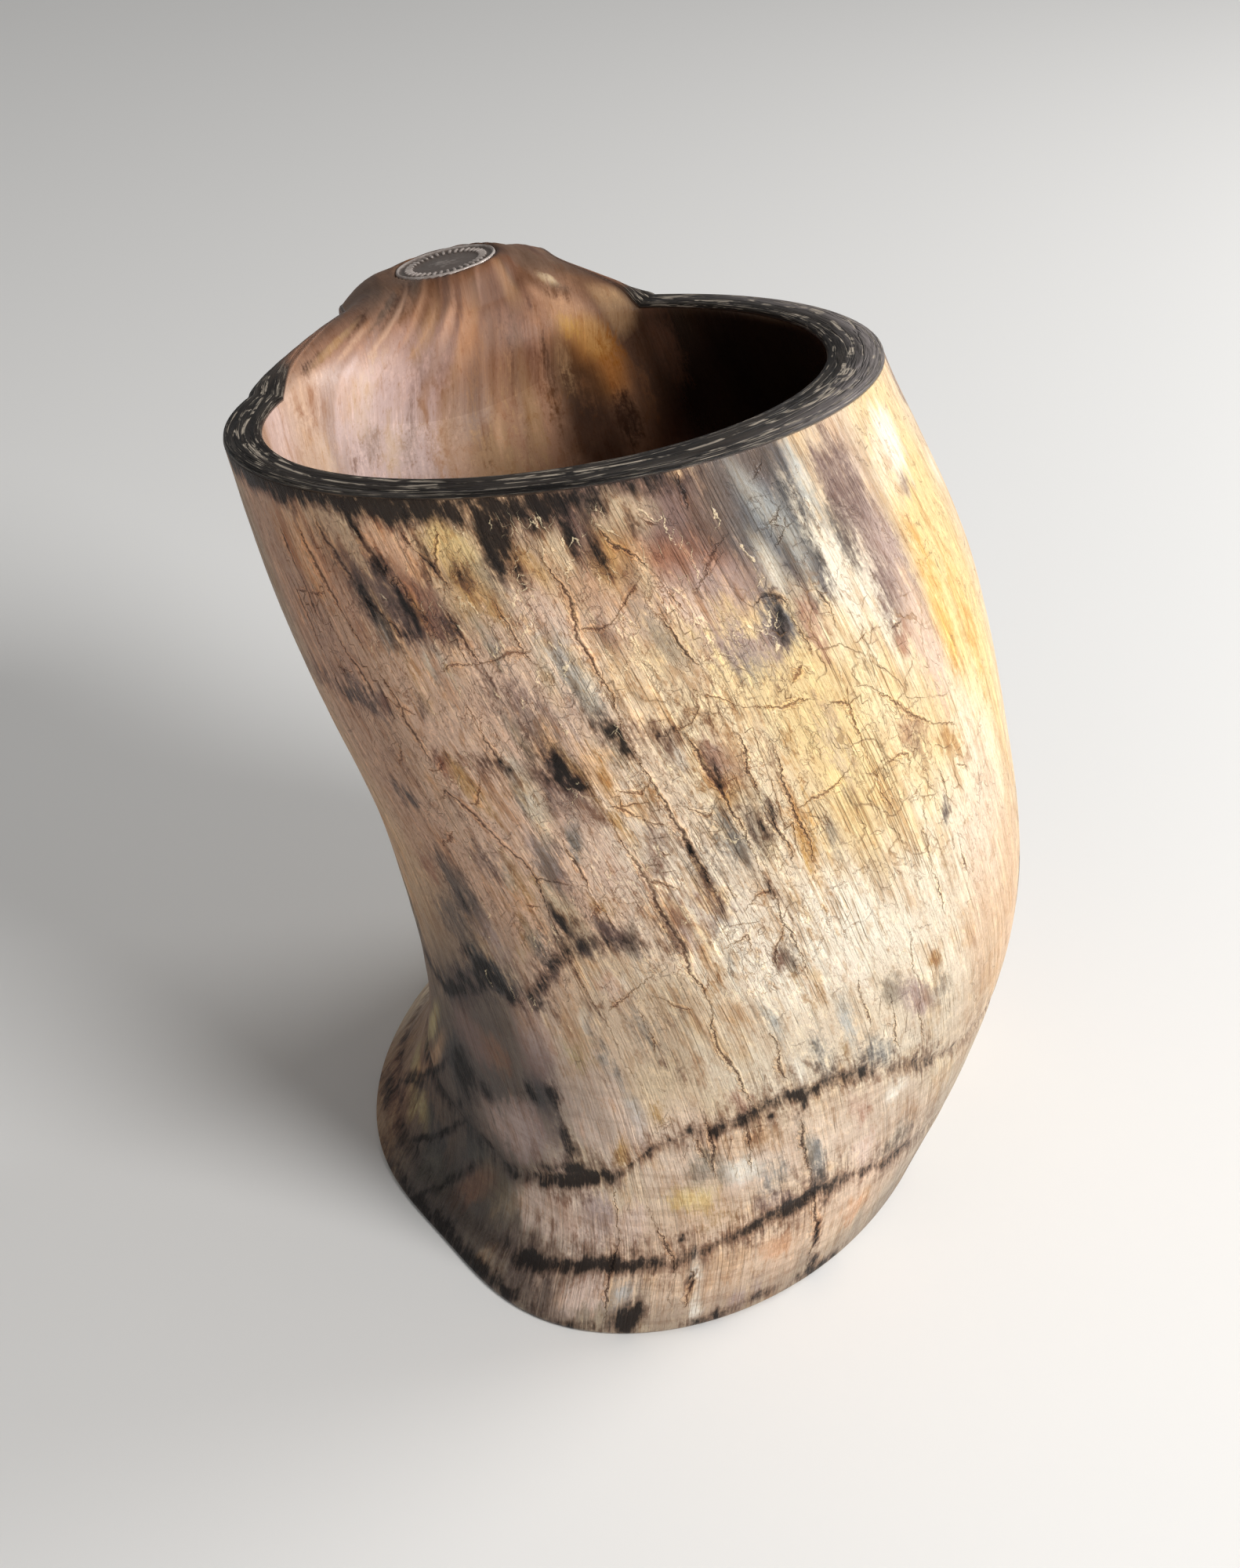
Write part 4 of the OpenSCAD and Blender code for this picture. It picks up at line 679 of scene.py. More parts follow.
def buildHorn():
    q, p = hornShape, stripShape
    cols, rows, inRows, steps = 360, q["outerRows"], q["innerRows"], q["bandSteps"]
    # columns count up from the strip's left edge, so that the map's seam is there
    angles = p["rootLeft"] - 360 + np.arange(cols, dtype=float)
    rootCol = cols - (p["rootLeft"] - p["rootRight"])

    # outer wall from the foot up, its lowest rows drawn in as a quarter round
    top = topShare(angles)
    footZ = np.array([0, 0.12, 0.4, 0.8])
    t = np.concatenate([footZ[:, None] / 150 * np.ones(cols),
                        1.2 / 150 + (top[None] - 1.2 / 150) * (np.linspace(0, 1, rows - 4) ** 1.06)[:, None]])
    inset = q["footRound"] - np.sqrt(np.maximum(q["footRound"] ** 2 - (q["footRound"] - np.minimum(t * 150, q["footRound"])) ** 2, 0))
    aa = np.broadcast_to(angles, t.shape)
    outer = wallPoint(t, aa, inset)
    flat = wallPoint(t, aa)
    normal = gridNormals(np.concatenate([flat[:, -1:], flat, flat[:, :1]], 1))[:, 1:-1]
    outer = outer + normal * wallRelief(aa, t * 100)[..., None]
    outer[0, :, 2] = 0

    # lining from the top down to the disc
    low = shareAt(q["discThick"], angles, True)
    ti = top[None] + (low - top)[None] * (np.linspace(0, 1, inRows) ** 1.15)[:, None]
    ai = np.broadcast_to(angles, ti.shape)
    lining = liningPoint(ti, ai)
    flat = liningPoint(ti, ai)
    normal = gridNormals(np.concatenate([flat[:, -1:], flat, flat[:, :1]], 1))[:, 1:-1]
    lining = lining + normal * liningRelief(ai, ti * 100)[..., None] * smooth(0, 0.08, ti - low)[..., None]

    # seat for the base disc, open below
    sx, sy = ovalPoint(np.full(cols, q["discThick"] / q["height"]), angles, q["seatWall"], 0)
    seat = np.stack([np.stack([sx, sy, np.full(cols, z)], -1) for z in (q["discThick"], 0.0)])

    # strip: columns from its left edge at the root's left to its right edge
    stripAngles = np.arange(p["rootLeft"], p["rootRight"] - 1, -1, dtype=float)
    under, over, length = stripSides(stripAngles)
    c = acrossStrip(stripAngles)[None]
    wave = 0.35 * (layeredNoise(stripAngles[None] * 2, length[:, None], 40, 26, 31) - 0.5)
    grow = smooth(0, 8, length)[:, None] * smooth(0, 10, length[-1] - length)[:, None] * (1 - np.abs(c) ** 6)
    lift = unit(over - under) * (wave * grow)[..., None]
    over = over + lift
    # the pocket under the inlaid disc: the crest is drawn flat near the disc's axis
    over = flattenSeat(over)
    stripRows, stripCols = under.shape[:2]

    # the bend from the wall into the strip is eased on both faces, less towards the strip's edges
    rootIds = np.array([0] + list(range(cols - 1, rootCol - 1, -1)))
    for face, turned in ((lining, over), (outer[::-1], under)):
        chain = np.concatenate([face[14:0:-1][:, rootIds], turned[:22]])
        place = np.linspace(-1, 1, len(chain))[:, None]
        ease = (smooth(1, 0.35, np.abs(place)) * smooth(1, 0.75, np.abs(c)))[..., None]
        for _ in range(60):
            chain[1:-1] += ease[1:-1] * ((chain[:-2] + chain[2:]) / 2 - chain[1:-1]) * 0.5
        face[14:0:-1, rootIds] = chain[:14]
        turned[:22] = chain[14:]
        face[0, rootIds] = turned[0]

    # vertex numbers of each patch; the strip's first row is the wall's top row
    counts = [outer.reshape(-1, 3), lining.reshape(-1, 3), seat.reshape(-1, 3),
              under[1:].reshape(-1, 3), over[1:].reshape(-1, 3)]
    starts = np.cumsum([0] + [len(part) for part in counts])
    outerIds = np.arange(starts[0], starts[1]).reshape(outer.shape[:2])
    liningIds = np.arange(starts[1], starts[2]).reshape(lining.shape[:2])
    seatIds = np.arange(starts[2], starts[3]).reshape(2, cols)
    underIds = np.concatenate([outerIds[-1][rootIds][None], np.arange(starts[3], starts[4]).reshape(-1, stripCols)])
    overIds = np.concatenate([liningIds[0][rootIds][None], np.arange(starts[4], starts[5]).reshape(-1, stripCols)])

    # the sawn band: round the mouth, down the strip's right edge, across its end and up again
    rimCols = np.arange(0, rootCol + 1)
    loopOut = np.concatenate([outerIds[-1][rimCols], underIds[1:, -1], underIds[-1, -2:0:-1], underIds[-1:0:-1, 0]])
    loopIn = np.concatenate([liningIds[0][rimCols], overIds[1:, -1], overIds[-1, -2:0:-1], overIds[-1:0:-1, 0]])
    points = np.concatenate(counts)
    outP, inP = points[loopOut], points[loopIn]
    middle, half = (outP + inP) / 2, (outP - inP) / 2
    run = np.roll(middle, -1, 0) - np.roll(middle, 1, 0)
    edge = unit(np.cross(half, run))
    for _ in range(2):
        edge = unit(np.roll(edge, 1, 0) + 2 * edge + np.roll(edge, -1, 0))
    n = len(loopOut)
    onRim = np.zeros(n)
    onRim[:len(rimCols)] = 1
    for _ in range(30):
        onRim = (np.roll(onRim, 1) + onRim + np.roll(onRim, -1)) / 3
    onRim[8:len(rimCols) - 8] = 1
    mouthward = np.zeros(n)
    mouthward[:len(rimCols)] = 1
    for _ in range(160):
        mouthward = (np.roll(mouthward, 1) + mouthward + np.roll(mouthward, -1)) / 3
    mouthward = smooth(0.05, 0.5, mouthward)
    bulge = q["rimRound"] * onRim + p["edgeRound"] * (1 - onRim)
    power = 0.42 * onRim + 0.85 * (1 - onRim)
    theta = np.linspace(0, math.pi, steps + 1)[1:-1][:, None]
    cos, sin = np.cos(theta), np.sin(theta)
    band = (middle + half * (np.sign(cos) * np.abs(cos) ** power)[..., None]
            + edge * (bulge * np.abs(sin) ** power)[..., None])
    bandIds = np.concatenate([loopOut[None], starts[5] + np.arange((steps - 1) * n).reshape(steps - 1, n), loopIn[None]])
    points = np.concatenate([points, band.reshape(-1, 3)])
    loopLength = np.concatenate([[0], np.cumsum(np.linalg.norm(np.diff(middle, axis=0), axis=-1))])
    around = loopLength / (loopLength[-1] + 1) * 2 * math.pi
    radius = loopLength[-1] / 20 / math.pi

    def quads(ids, closed, flip=False):
        a = ids if not closed else np.concatenate([ids, ids[:, :1]], 1)
        f = np.stack([a[:-1, :-1], a[:-1, 1:], a[1:, 1:], a[1:, :-1]], -1).reshape(-1, 4)
        return f[:, ::-1] if flip else f

    def corners(u, v, closed, flip=False):
        # map corners of the same quads; the closing column goes on past the last angle
        if closed:
            u = np.concatenate([u, u[:, :1] + 360], 1)
            v = np.concatenate([v, v[:, :1]], 1)
        m = np.stack([u, v], -1)
        k = np.stack([m[:-1, :-1], m[:-1, 1:], m[1:, 1:], m[1:, :-1]], -2).reshape(-1, 4, 2)
        return k[:, ::-1] if flip else k

    stripShare = 100 + length[:, None] / 1.5 * np.ones(stripCols)
    stripU = stripAngles[None] * np.ones((stripRows, 1))
    seatU = np.broadcast_to(angles, (3, cols))
    bandU = np.broadcast_to(np.concatenate([angles[rimCols], np.full(n - len(rimCols), 60.0)]), (steps + 1, n))
    bandV = np.broadcast_to(np.linspace(100, 101, steps + 1)[:, None], (steps + 1, n))
    parts = [
        (quads(outerIds, True), corners(aa, t * 100, True)),
        (quads(liningIds, True), corners(ai, ti * 100, True)),
        (quads(np.concatenate([liningIds[-1:], seatIds]), True), corners(seatU, np.full((3, cols), 5.0), True)),
        (quads(np.concatenate([seatIds[-1:], outerIds[:1]]), True), corners(seatU[:2], np.zeros((2, cols)), True)),
        (quads(underIds, False, True), corners(stripU, stripShare, False, True)),
        (quads(overIds, False), corners(stripU, stripShare, False)),
        (quads(bandIds, True), corners(bandU, bandV, True)),
    ]
    faces = np.concatenate([part[0] for part in parts])
    faceMap = np.concatenate([part[1] for part in parts]) / 100

    # per vertex: zone (inside, sawn edge, strip), grain place, band place, paint, stain with painted shade along the
    # foot
    def fill(outerV, liningV, seatV, underV, overV, bandV_):
        return np.concatenate([np.broadcast_to(v, s.shape[:2] + np.shape(v)[2:]).reshape(-1, *np.shape(v)[2:]) for v, s in
                               ((outerV, outer), (liningV, lining), (seatV, seat), (underV, under[1:]),
                                (overV, over[1:]), (bandV_, band))])

    zero, one, nowhere = np.zeros((1, 1)), np.ones((1, 1)), np.array([[[4.0, 0, 0]]])
    inside = fill(zero, one, one, zero, one, zero)
    inwards = np.linspace(0, 1, steps + 1)[1:-1][:, None]
    sawn = fill(zero, zero, zero, zero, zero, mouthward + (1 - mouthward) * 0.8 * smooth(0.55, 0.3, inwards))
    strip = fill(zero, zero, zero, one, one, np.broadcast_to(1 - mouthward, (steps - 1, n)))
    ln = length[1:, None]
    rootShare = topShare(stripAngles)[None] * 100
    stripShareAt = rootShare + ln / 1.5
    stripGrain = grainPlace(stripAngles[None], np.minimum(stripShareAt, 100), stripShareAt * 1.5)
    liningGrain = grainPlace(ai, ti * 100, ti * 150, 4.0)
    # seen from the front the strip's grain runs straight up, so its angle is that of the root at the same x
    rootX = over[0, :, 0]
    straight = np.interp(over[1:, :, 0], rootX, stripAngles)
    stripGrainIn = grainPlace(straight, np.minimum(stripShareAt, 100), stripShareAt * 1.5, 4.0)
    bandGrain = np.stack(np.broadcast_arrays(inwards, 0.3, loopLength[None] / 10), -1)
    grain = fill(grainPlace(aa, t * 100, t * 150), liningGrain, np.zeros((1, 1, 3)), stripGrain, stripGrainIn, bandGrain)
    ring = np.stack([radius * np.cos(around), radius * np.sin(around)], -1)
    cross = np.linspace(-0.4, 0.4, steps + 1)
    bandPlace = np.concatenate([np.broadcast_to(ring, (steps + 1, n, 2)),
                                np.broadcast_to(cross[:, None, None], (steps + 1, n, 1))], -1)
    edgePlace = np.zeros((len(points), 3))
    edgePlace[bandIds.ravel()] = bandPlace.reshape(-1, 3)

    warpA = 4 * (layeredNoise(aa, t * 150, 40, 26, 41) - 0.5)
    warpT = 5 * (layeredNoise(aa - grainTurn(aa, t * 100), t * 150, 170, 60, 51) - 0.5)
    behind = (-28, 146, 2, 100)
    tints = wallTints + chanceSpots(34, 21, behind, 20, 18, ("tan", "pale", "pink", "butter", "ash", "salmon", "peach"), 0.9)
    marks = (wallMarks + chanceSpots(80, 26, (-142, -90, 40, 92), 2, 3.6, ("purple", "brown", "ash", "cream", "pale", "ochre", "steel"), 0.75)
             + chanceSpots(90, 22, behind, 5, 6, ("purple", "ochre", "brown", "lilac", "dusk", "cream", "pale", "steel"), 0.9))
    stainsAndFootShade = wallStainsAndFootShade + chanceSpots(26, 23, behind, 1.8, 4, None, 0.85) + chanceSpots(24, 24, (-14, 155, 96, 100), 9, 2, None, 1.0)
    wallPaint = paintTints(aa + 1.5 * warpA, t * 100 + 1.5 * warpT, tints, "cream")
    markPaint, markCover = paintMarks(aa + 0.7 * warpA, t * 100 + 0.8 * warpT, marks)
    wallDark = stainAndShadeCover(aa + 0.3 * warpA, t * 100 + 0.4 * warpT, stainsAndFootShade)
    rings = 0
    for k, (name, (places, shares, dark)) in enumerate(ringLines.items()):
        away = t * 100 + 0.25 * warpT + 1.2 * (layeredNoise(aa, aa * 0, 40, 10, 55 + k) - 0.5) - ringHeight(name, aa)
        broad = 0.8 + 1.4 * layeredNoise(aa, aa * 0, 30, 10, 65 + k)
        much = np.interp(aa, places, dark) * (0.5 + 0.9 * layeredNoise(aa, aa * 0, 22, 10, 75 + k))
        rings = np.maximum(rings, much * np.maximum(np.exp(-(away / broad) ** 2), 0.4 * np.exp(-((away - 0.8) / broad / 3) ** 2)))
    rings = rings * (0.6 + 0.8 * layeredNoise(aa, t * 150, 60, 400, 61))
    wallDark = np.maximum(wallDark, rings)
    warpL = 5 * (layeredNoise(ai, ti * 150, 60, 50, 71) - 0.5)
    shifted = np.mod(ai + 90, 360) - 90
    liningPaint = paintTints(shifted + warpL, ti * 100, liningTints, "brown")
    liningOver, liningCover = paintMarks(shifted + 0.5 * warpL, ti * 100, liningMarks)
    warpS = 5 * (layeredNoise(stripAngles[None], stripShareAt * 1.5, 60, 50, 71) - 0.5)
    stripPaint = paintTints(stripAngles[None] + warpS, stripShareAt, liningTints, "brown")
    browns = ("dusk", "umber", "tan", "clay", "amber", "salmon", "brown")
    overMarks = liningMarks + chanceSpots(70, 27, (58, 158, 113, 215), 6, 10, browns, 0.85)
    underMarks = chanceSpots(70, 28, (58, 158, 100, 215), 6, 10, browns, 0.85)
    stripOver, stripCover = paintMarks(stripAngles[None] + 0.5 * warpS, stripShareAt, overMarks)
    underOver, underCover = paintMarks(stripAngles[None] + 0.5 * warpS, stripShareAt, underMarks)
    stripUnder = paintTints(stripAngles[None] + warpS, stripShareAt + 60, liningTints, "brown")
    small = (hairLines(150, 7, (-165, -40, 25, 98), 4, 0.8, 0.08) + hairLines(170, 8, (-125, -60, 52, 98), 3, 1.2, 0.08)
             + hairLines(170, 11, behind, 5, 1.0, 0.1))
    flecks = (hairLines(90, 9, (-138, -78, 82, 98), 4, 0.5, 0.16) + hairLines(70, 10, (-125, -60, 45, 80), 3.5, 0.6, 0.12)
              + hairLines(50, 12, behind, 4, 0.6, 0.12))
    small = small + hairLines(150, 14, (-158, -92, 45, 98), 7, 0.25, 0.09)
    flecks = flecks + hairLines(60, 15, (-150, -90, 40, 84), 5, 0.3, 0.1)
    cracks = crackLines + chanceCracks(26, 13, behind, 24)
    fields = [crackField(aa, t * 100, lines, 5 + k) for k, lines in enumerate((cracks, scratchLines, small, flecks))]
    bandPaint = linear(paints["umber"]) * (1 - inwards[..., None]) + linear(paints["clay"]) * inwards[..., None] * np.ones((steps - 1, n, 1))
    seatPaint = np.tile(linear(paints["umber"]), (2, cols, 1))
    paint = fill(wallPaint, liningPaint, seatPaint, stripUnder, stripPaint, bandPaint)
    marks = fill(markPaint, liningOver, seatPaint, underOver, stripOver, bandPaint)
    cover = fill(markCover, liningCover, zero, underCover, stripCover, zero)
    stainAndShade = fill(wallDark, zero, zero, zero, zero, zero)

    horn = makeMesh("hornCup", points, faces, faceMap, {"inside": inside, "sawn": sawn, "strip": strip, "stainAndShade": stainAndShade, "cover": cover},
                    {"grainPlace": grain, "edgePlace": edgePlace,
                     **{key: fill(field, nowhere, nowhere, nowhere, nowhere, nowhere) for key, field in zip(("crack", "scratch", "hair", "fleck"), fields)}},
                    {"paint": paint, "mark": marks})
    print("horn:", len(points), "points,", len(faces), "faces")
    return horn


# The inlaid disc, in millimetres and degrees
discShape = {"across": 16, "thick": 1.8, "x": -0.4, "y": 1.2, "down": 0.4, "proud": 0.1, "cant": 9.5, "back": 7, "rim": 0.5,
             "dip": 0.45, "ticks": 36, "tickLong": 1.3, "tickAway": 0.9}


def discFrame():
    # the disc's middle and its three directions, the last one its axis
    q, p, d = hornShape, stripShape, discShape
    back = wallPoint(1.0, 90.0)
    tilt, cant = math.atan(p["crestFall"] / p["gripOut"]) + d["back"] * footDegrees, d["cant"] * footDegrees
    place = np.array([p["crestX"] - q["lean"] + d["x"], back[1] + p["crestOut"] + d["y"],
                      back[2] + q["rimRound"] + p["crestUp"] - d["down"] - d["y"] * p["crestFall"] / p["gripOut"]])
    turn = np.array(Matrix.Rotation(-cant, 3, "Y") @ Matrix.Rotation(-tilt, 3, "X"))
    axes = turn.T
    top = place + axes[2] * (p["thick"] / 2 + d["proud"])
    return top, axes


def flattenSeat(grid):
    # points within the disc's reach go to the plane just under its edge
    top, axes = discFrame()
    rel = grid - top
    away = np.linalg.norm(rel - (rel @ axes[2])[..., None] * axes[2], axis=-1)
    height = rel @ axes[2]
    half = discShape["across"] / 2
    near = (np.abs(height) < 5) * smooth(half + 4, half + 0.7, away)
    target = -0.15 - 0.9 * smooth(half + 0.25, half, away)
    return grid + axes[2] * ((target - height) * near)[..., None]


hornCup = buildHorn()
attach(hornCup, "root")
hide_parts("horn_body", "handle")
print("horn built")


def revolve(profile, count):
    # points of a profile (radius, height) turned about the axis and joined by quads; the ends stay open
    turn = np.arange(count) / count * 2 * math.pi
    r, z = np.array(profile, float).T
    ring = np.stack([r[:, None] * np.cos(turn), r[:, None] * np.sin(turn), z[:, None] + 0 * turn], -1)
    ids = np.arange(len(r) * count).reshape(len(r), count)
    closed = np.concatenate([ids, ids[:, :1]], 1)
    faces = np.stack([closed[:-1, :-1], closed[:-1, 1:], closed[1:, 1:], closed[1:, :-1]], -1).reshape(-1, 4)
    return ring, faces


def addPoles(points, faces, first, last, count):
    # the middle points of the first and the last ring, put after the points, with their numbers
    n = len(points)
    bottom, top = points[first].mean(0), points[last].mean(0)
    return np.concatenate([points, [bottom, top]]), n, n + 1


def meshFromLists(name, points, faces):
    mesh = bpy.data.meshes.new(name)
    mesh.from_pydata((points * mm).tolist(), [], faces)
    mesh.validate()
    mesh.polygons.foreach_set("use_smooth", np.ones(len(mesh.polygons), bool))
    obj = bpy.data.objects.new(name, mesh)
    scene.collection.objects.link(obj)
    return obj


def closedRings(rings, poleLow, poleHigh):
    # rings of equal count joined by quads, with a fan of triangles at each end
    count = rings.shape[1]
    points = np.concatenate([rings.reshape(-1, 3), [poleLow, poleHigh]])
    ids = np.arange(rings.shape[0] * count).reshape(rings.shape[0], count)
    closed = np.concatenate([ids, ids[:, :1]], 1)
    faces = np.stack([closed[:-1, :-1], closed[:-1, 1:], closed[1:, 1:], closed[1:, :-1]], -1).reshape(-1, 4).tolist()
    low, high = len(points) - 2, len(points) - 1
    faces += np.stack([closed[0, 1:], closed[0, :-1], np.full(count, low)], -1).tolist()
    faces += np.stack([closed[-1, :-1], closed[-1, 1:], np.full(count, high)], -1).tolist()
    return points, faces


def buildMedallion():
    # a low dome inside a raised edge, with a ring of ticks that fade at both ends
    d = discShape
    top, axes = discFrame()
    count = d["ticks"] * 12
    turn = np.arange(count) / count * 2 * math.pi
    half = d["across"] / 2
    radii = np.concatenate([[half - 0.15, half, half, half - 0.12, half - 0.3], np.linspace(half - 0.55, 0.35, 44)])
    base = np.concatenate([[-d["thick"], -d["thick"] + 0.15, -0.3, -0.06, 0.0], np.zeros(44)])
    inner = half - d["rim"]
    r = radii[:, None] * np.ones(count)
    height = base[:, None] * np.ones(count)
    dip = smooth(inner + 0.15, inner - 0.15, r)
    tickOut = inner - d["tickAway"]
    tickIn = tickOut - d["tickLong"]
    tick = smooth(-0.2, 0.6, np.cos(turn * d["ticks"]))[None] * smooth(tickIn - 0.15, tickIn + 0.15, r)
    tick = tick * smooth(tickOut + 0.15, tickOut - 0.15, r)
    dome = 0.16 * smooth(tickIn - 0.4, 0, r) + 0.1 * (layeredNoise(np.degrees(turn)[None] + 0 * r, r * 3, 12, 4, 93) - 0.5) * smooth(tickIn, tickIn - 0.6, r)
    height = height + dip * (-d["dip"] + 0.36 * tick + dome)
    points = (r * np.cos(turn))[..., None] * axes[0] + (r * np.sin(turn))[..., None] * axes[1] + height[..., None] * axes[2] + top
    mesh, faces = closedRings(points, top - axes[2] * d["thick"], top + axes[2] * (height[-1].mean()))
    disc = meshFromLists("inlaidDisc", mesh, faces)
    raised = np.concatenate([np.maximum(smooth(-0.45, -0.1, height), smooth(inner - 0.1, inner + 0.1, r)).ravel(), [0, 0.3]])
    disc.data.attributes.new("raised", "FLOAT", "POINT").data.foreach_set("value", raised.astype(np.float32))
    return disc


medallion = buildMedallion()
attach(medallion, "root")
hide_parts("medallion")

pinShape = {"across": 3, "bite": 3.5, "shares": (0.25, 0.7), "head": 0.35}


def buildPins():
    # two round pins square to the wall, their heads filed to a low dome
    p, k = stripShape, pinShape
    points, faces = [], []
    for share in k["shares"]:
        z, side = np.array(p["tipZ"] + p["padLong"] * share, float), np.array(p["tipSide"], float)
        normal = wallNormal(z, side)
        start = wallPoint(shareAt(z, side), side) - normal * k["bite"]
        long = k["bite"] + p["glue"] + p["thick"] * 0.82
        r = k["across"] / 2 - 0.05
        profile = np.array([(r - 0.2, 0), (r, 0.2), (r, long - 0.25), (r - 0.1, long - 0.05), (r * 0.7, long + k["head"] * 0.5),
                            (r * 0.35, long + k["head"] * 0.85)])
        across = unit(np.cross(normal, [0, 0, 1.0]))
        other = np.cross(normal, across)
        turn = np.arange(32) / 32 * 2 * math.pi
        ring = (profile[:, 0][:, None] * np.cos(turn))[..., None] * across + (profile[:, 0][:, None] * np.sin(turn))[..., None] * other
        ring = ring + profile[:, 1][:, None, None] * normal + start
        got, made = closedRings(ring, start, start + normal * (long + k["head"]))
        faces += [[i + sum(len(x) for x in points) for i in face] for face in made]
        points.append(got)
    return meshFromLists("handlePins", np.concatenate(points), faces)


pins = buildPins()
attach(pins, "root")
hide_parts("handle_pins")

baseShape = {"glue": 0.1, "round": 0.5, "crown": 0.4}


def buildBaseDisc():
    # oval plate with small round edges and flat faces
    q, b = hornShape, baseShape
    a = np.arange(180) * 2.0
    share = np.full(180, q["discThick"] / q["height"])
    rings = []

    def ring(inset, z):
        x, y = ovalPoint(share, a, q["seatWall"] + b["glue"] + inset, 0)
        return np.stack([x, y, np.full(180, z)], -1)

    full, e = q["discThick"], b["round"]
    middle = ring(0, 0)[:, :2].mean(0)
    for k in (0.15, 0.4, 0.7, 0.95):
        r = ring(e, 0.0)
        r[:, :2] = middle + (r[:, :2] - middle) * k
        rings.append(r)
    rings += [ring(e, 0.0), ring(e * 0.3, e * 0.3), ring(0, e), ring(0, full - e), ring(e * 0.3, full - e * 0.3), ring(e, full)]
    for k in (0.95, 0.7, 0.4, 0.15):
        r = ring(e, full)
        r[:, :2] = middle + (r[:, :2] - middle) * k
        rings.append(r)
    points, faces = closedRings(np.stack(rings), np.array([*middle, 0.0]), np.array([*middle, full]))
    return meshFromLists("baseDisc", points, faces)


base = buildBaseDisc()
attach(base, "root")
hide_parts("base_disc")

beadShape = {"high": 2.5, "gap": 0.05, "waves": 0.3}


def buildBead():
    # fillet in the corner above the disc: a hollow quarter round whose reach wanders
    q, b = hornShape, beadShape
    a = np.arange(240) * 1.5
    reach = b["high"] * (0.85 + b["waves"] * (layeredNoise(a, a * 0, 30, 10, 91) - 0.5))
    low = q["discThick"] + b["gap"]
    share = shareAt(np.full(240, low), a, True)
    rings = []
    for u in np.linspace(0, 1, 9):
        # u runs from the disc to the wall on a hollow arc
        out, up = 1 - math.sin(u * math.pi / 2), 1 - math.cos(u * math.pi / 2)
        x, y = liningPoint(share, a, b["gap"])[:, 0], liningPoint(share, a, b["gap"])[:, 1]
        far = liningPoint(share, a, b["gap"] + 1)
        step = far - liningPoint(share, a, b["gap"])
        z = low + up * reach
        wall = liningPoint(shareAt(z, a, True), a, b["gap"])
        rings.append(np.stack([wall[:, 0] + step[:, 0] * out * reach, wall[:, 1] + step[:, 1] * out * reach, z], -1))
    corner = liningPoint(share, a, b["gap"])
    corner[:, 2] = low
    rings = np.stack(rings + [corner])
    count = 240
    ids = np.arange(10 * count).reshape(10, count)
    closed = np.concatenate([ids, ids[:, :1]], 1)
    closed = np.concatenate([closed, closed[:1]], 0)
    faces = np.stack([closed[:-1, :-1], closed[1:, :-1], closed[1:, 1:], closed[:-1, 1:]], -1).reshape(-1, 4).tolist()
    return meshFromLists("waxBead", rings.reshape(-1, 3), faces)


bead = buildBead()
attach(bead, "root")
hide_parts("seal_bead")
print("small pieces built")


# Shader helpers
def addNode(tree, kind, sockets=None, **settings):
    made = tree.nodes.new(kind)
    for key, value in settings.items():
        setattr(made, key, value)
    for key, value in (sockets or {}).items():
        if isinstance(value, bpy.types.NodeSocket):
            tree.links.new(value, made.inputs[key])
        else:
            made.inputs[key].default_value = value
    return made


def calc(tree, operation, *values, clamp=False):
    made = addNode(tree, "ShaderNodeMath", dict(enumerate(values)), operation=operation, use_clamp=clamp)
    return made.outputs[0]


def step(tree, value, low, high):
    # smooth step from 0 at low to 1 at high
    made = addNode(tree, "ShaderNodeMapRange", {"Value": value, "From Min": low, "From Max": high},
                   interpolation_type="SMOOTHSTEP")
    return made.outputs["Result"]


def mix(tree, factor, first, second, blend="MIX"):
    made = addNode(tree, "ShaderNodeMix", {}, data_type="RGBA", blend_type=blend)
    for socket, value in ((made.inputs[0], factor), (made.inputs[6], first), (made.inputs[7], second)):
        if isinstance(value, bpy.types.NodeSocket):
            tree.links.new(value, socket)
        else:
            socket.default_value = value if isinstance(value, (int, float)) else tuple(value) + (1,) * (4 - len(value))
    return made.outputs[2]


def stretched(tree, vector, x, y, z):
    return addNode(tree, "ShaderNodeVectorMath", {0: vector, 1: (x, y, z)}, operation="MULTIPLY").outputs[0]


def noise(tree, vector, scale, detail=3, rough=0.55, distortion=0.0):
    made = addNode(tree, "ShaderNodeTexNoise", {"Vector": vector, "Scale": scale, "Detail": detail,
                                                "Roughness": rough, "Distortion": distortion})
    return made.outputs["Fac"]


def attribute(tree, name, output="Fac"):
    return addNode(tree, "ShaderNodeAttribute", attribute_name=name, attribute_type="GEOMETRY").outputs[output]


def newGroup(name, inputs, outputs):
    tree = bpy.data.node_groups.new(name, "ShaderNodeTree")
    for key, kind, value in inputs:
        socket = tree.interface.new_socket(name=key, in_out="INPUT", socket_type=kind)
        if value is not None:
            socket.default_value = value
    for key, kind in outputs:
        tree.interface.new_socket(name=key, in_out="OUTPUT", socket_type=kind)
    return tree, tree.nodes.new("NodeGroupInput").outputs, tree.nodes.new("NodeGroupOutput").inputs


def useGroup(tree, group, sockets):
    made = tree.nodes.new("ShaderNodeGroup")
    made.node_tree = group
    for key, value in sockets.items():
        if isinstance(value, bpy.types.NodeSocket):
            tree.links.new(value, made.inputs[key])
        else:
            made.inputs[key].default_value = value
    return made.outputs


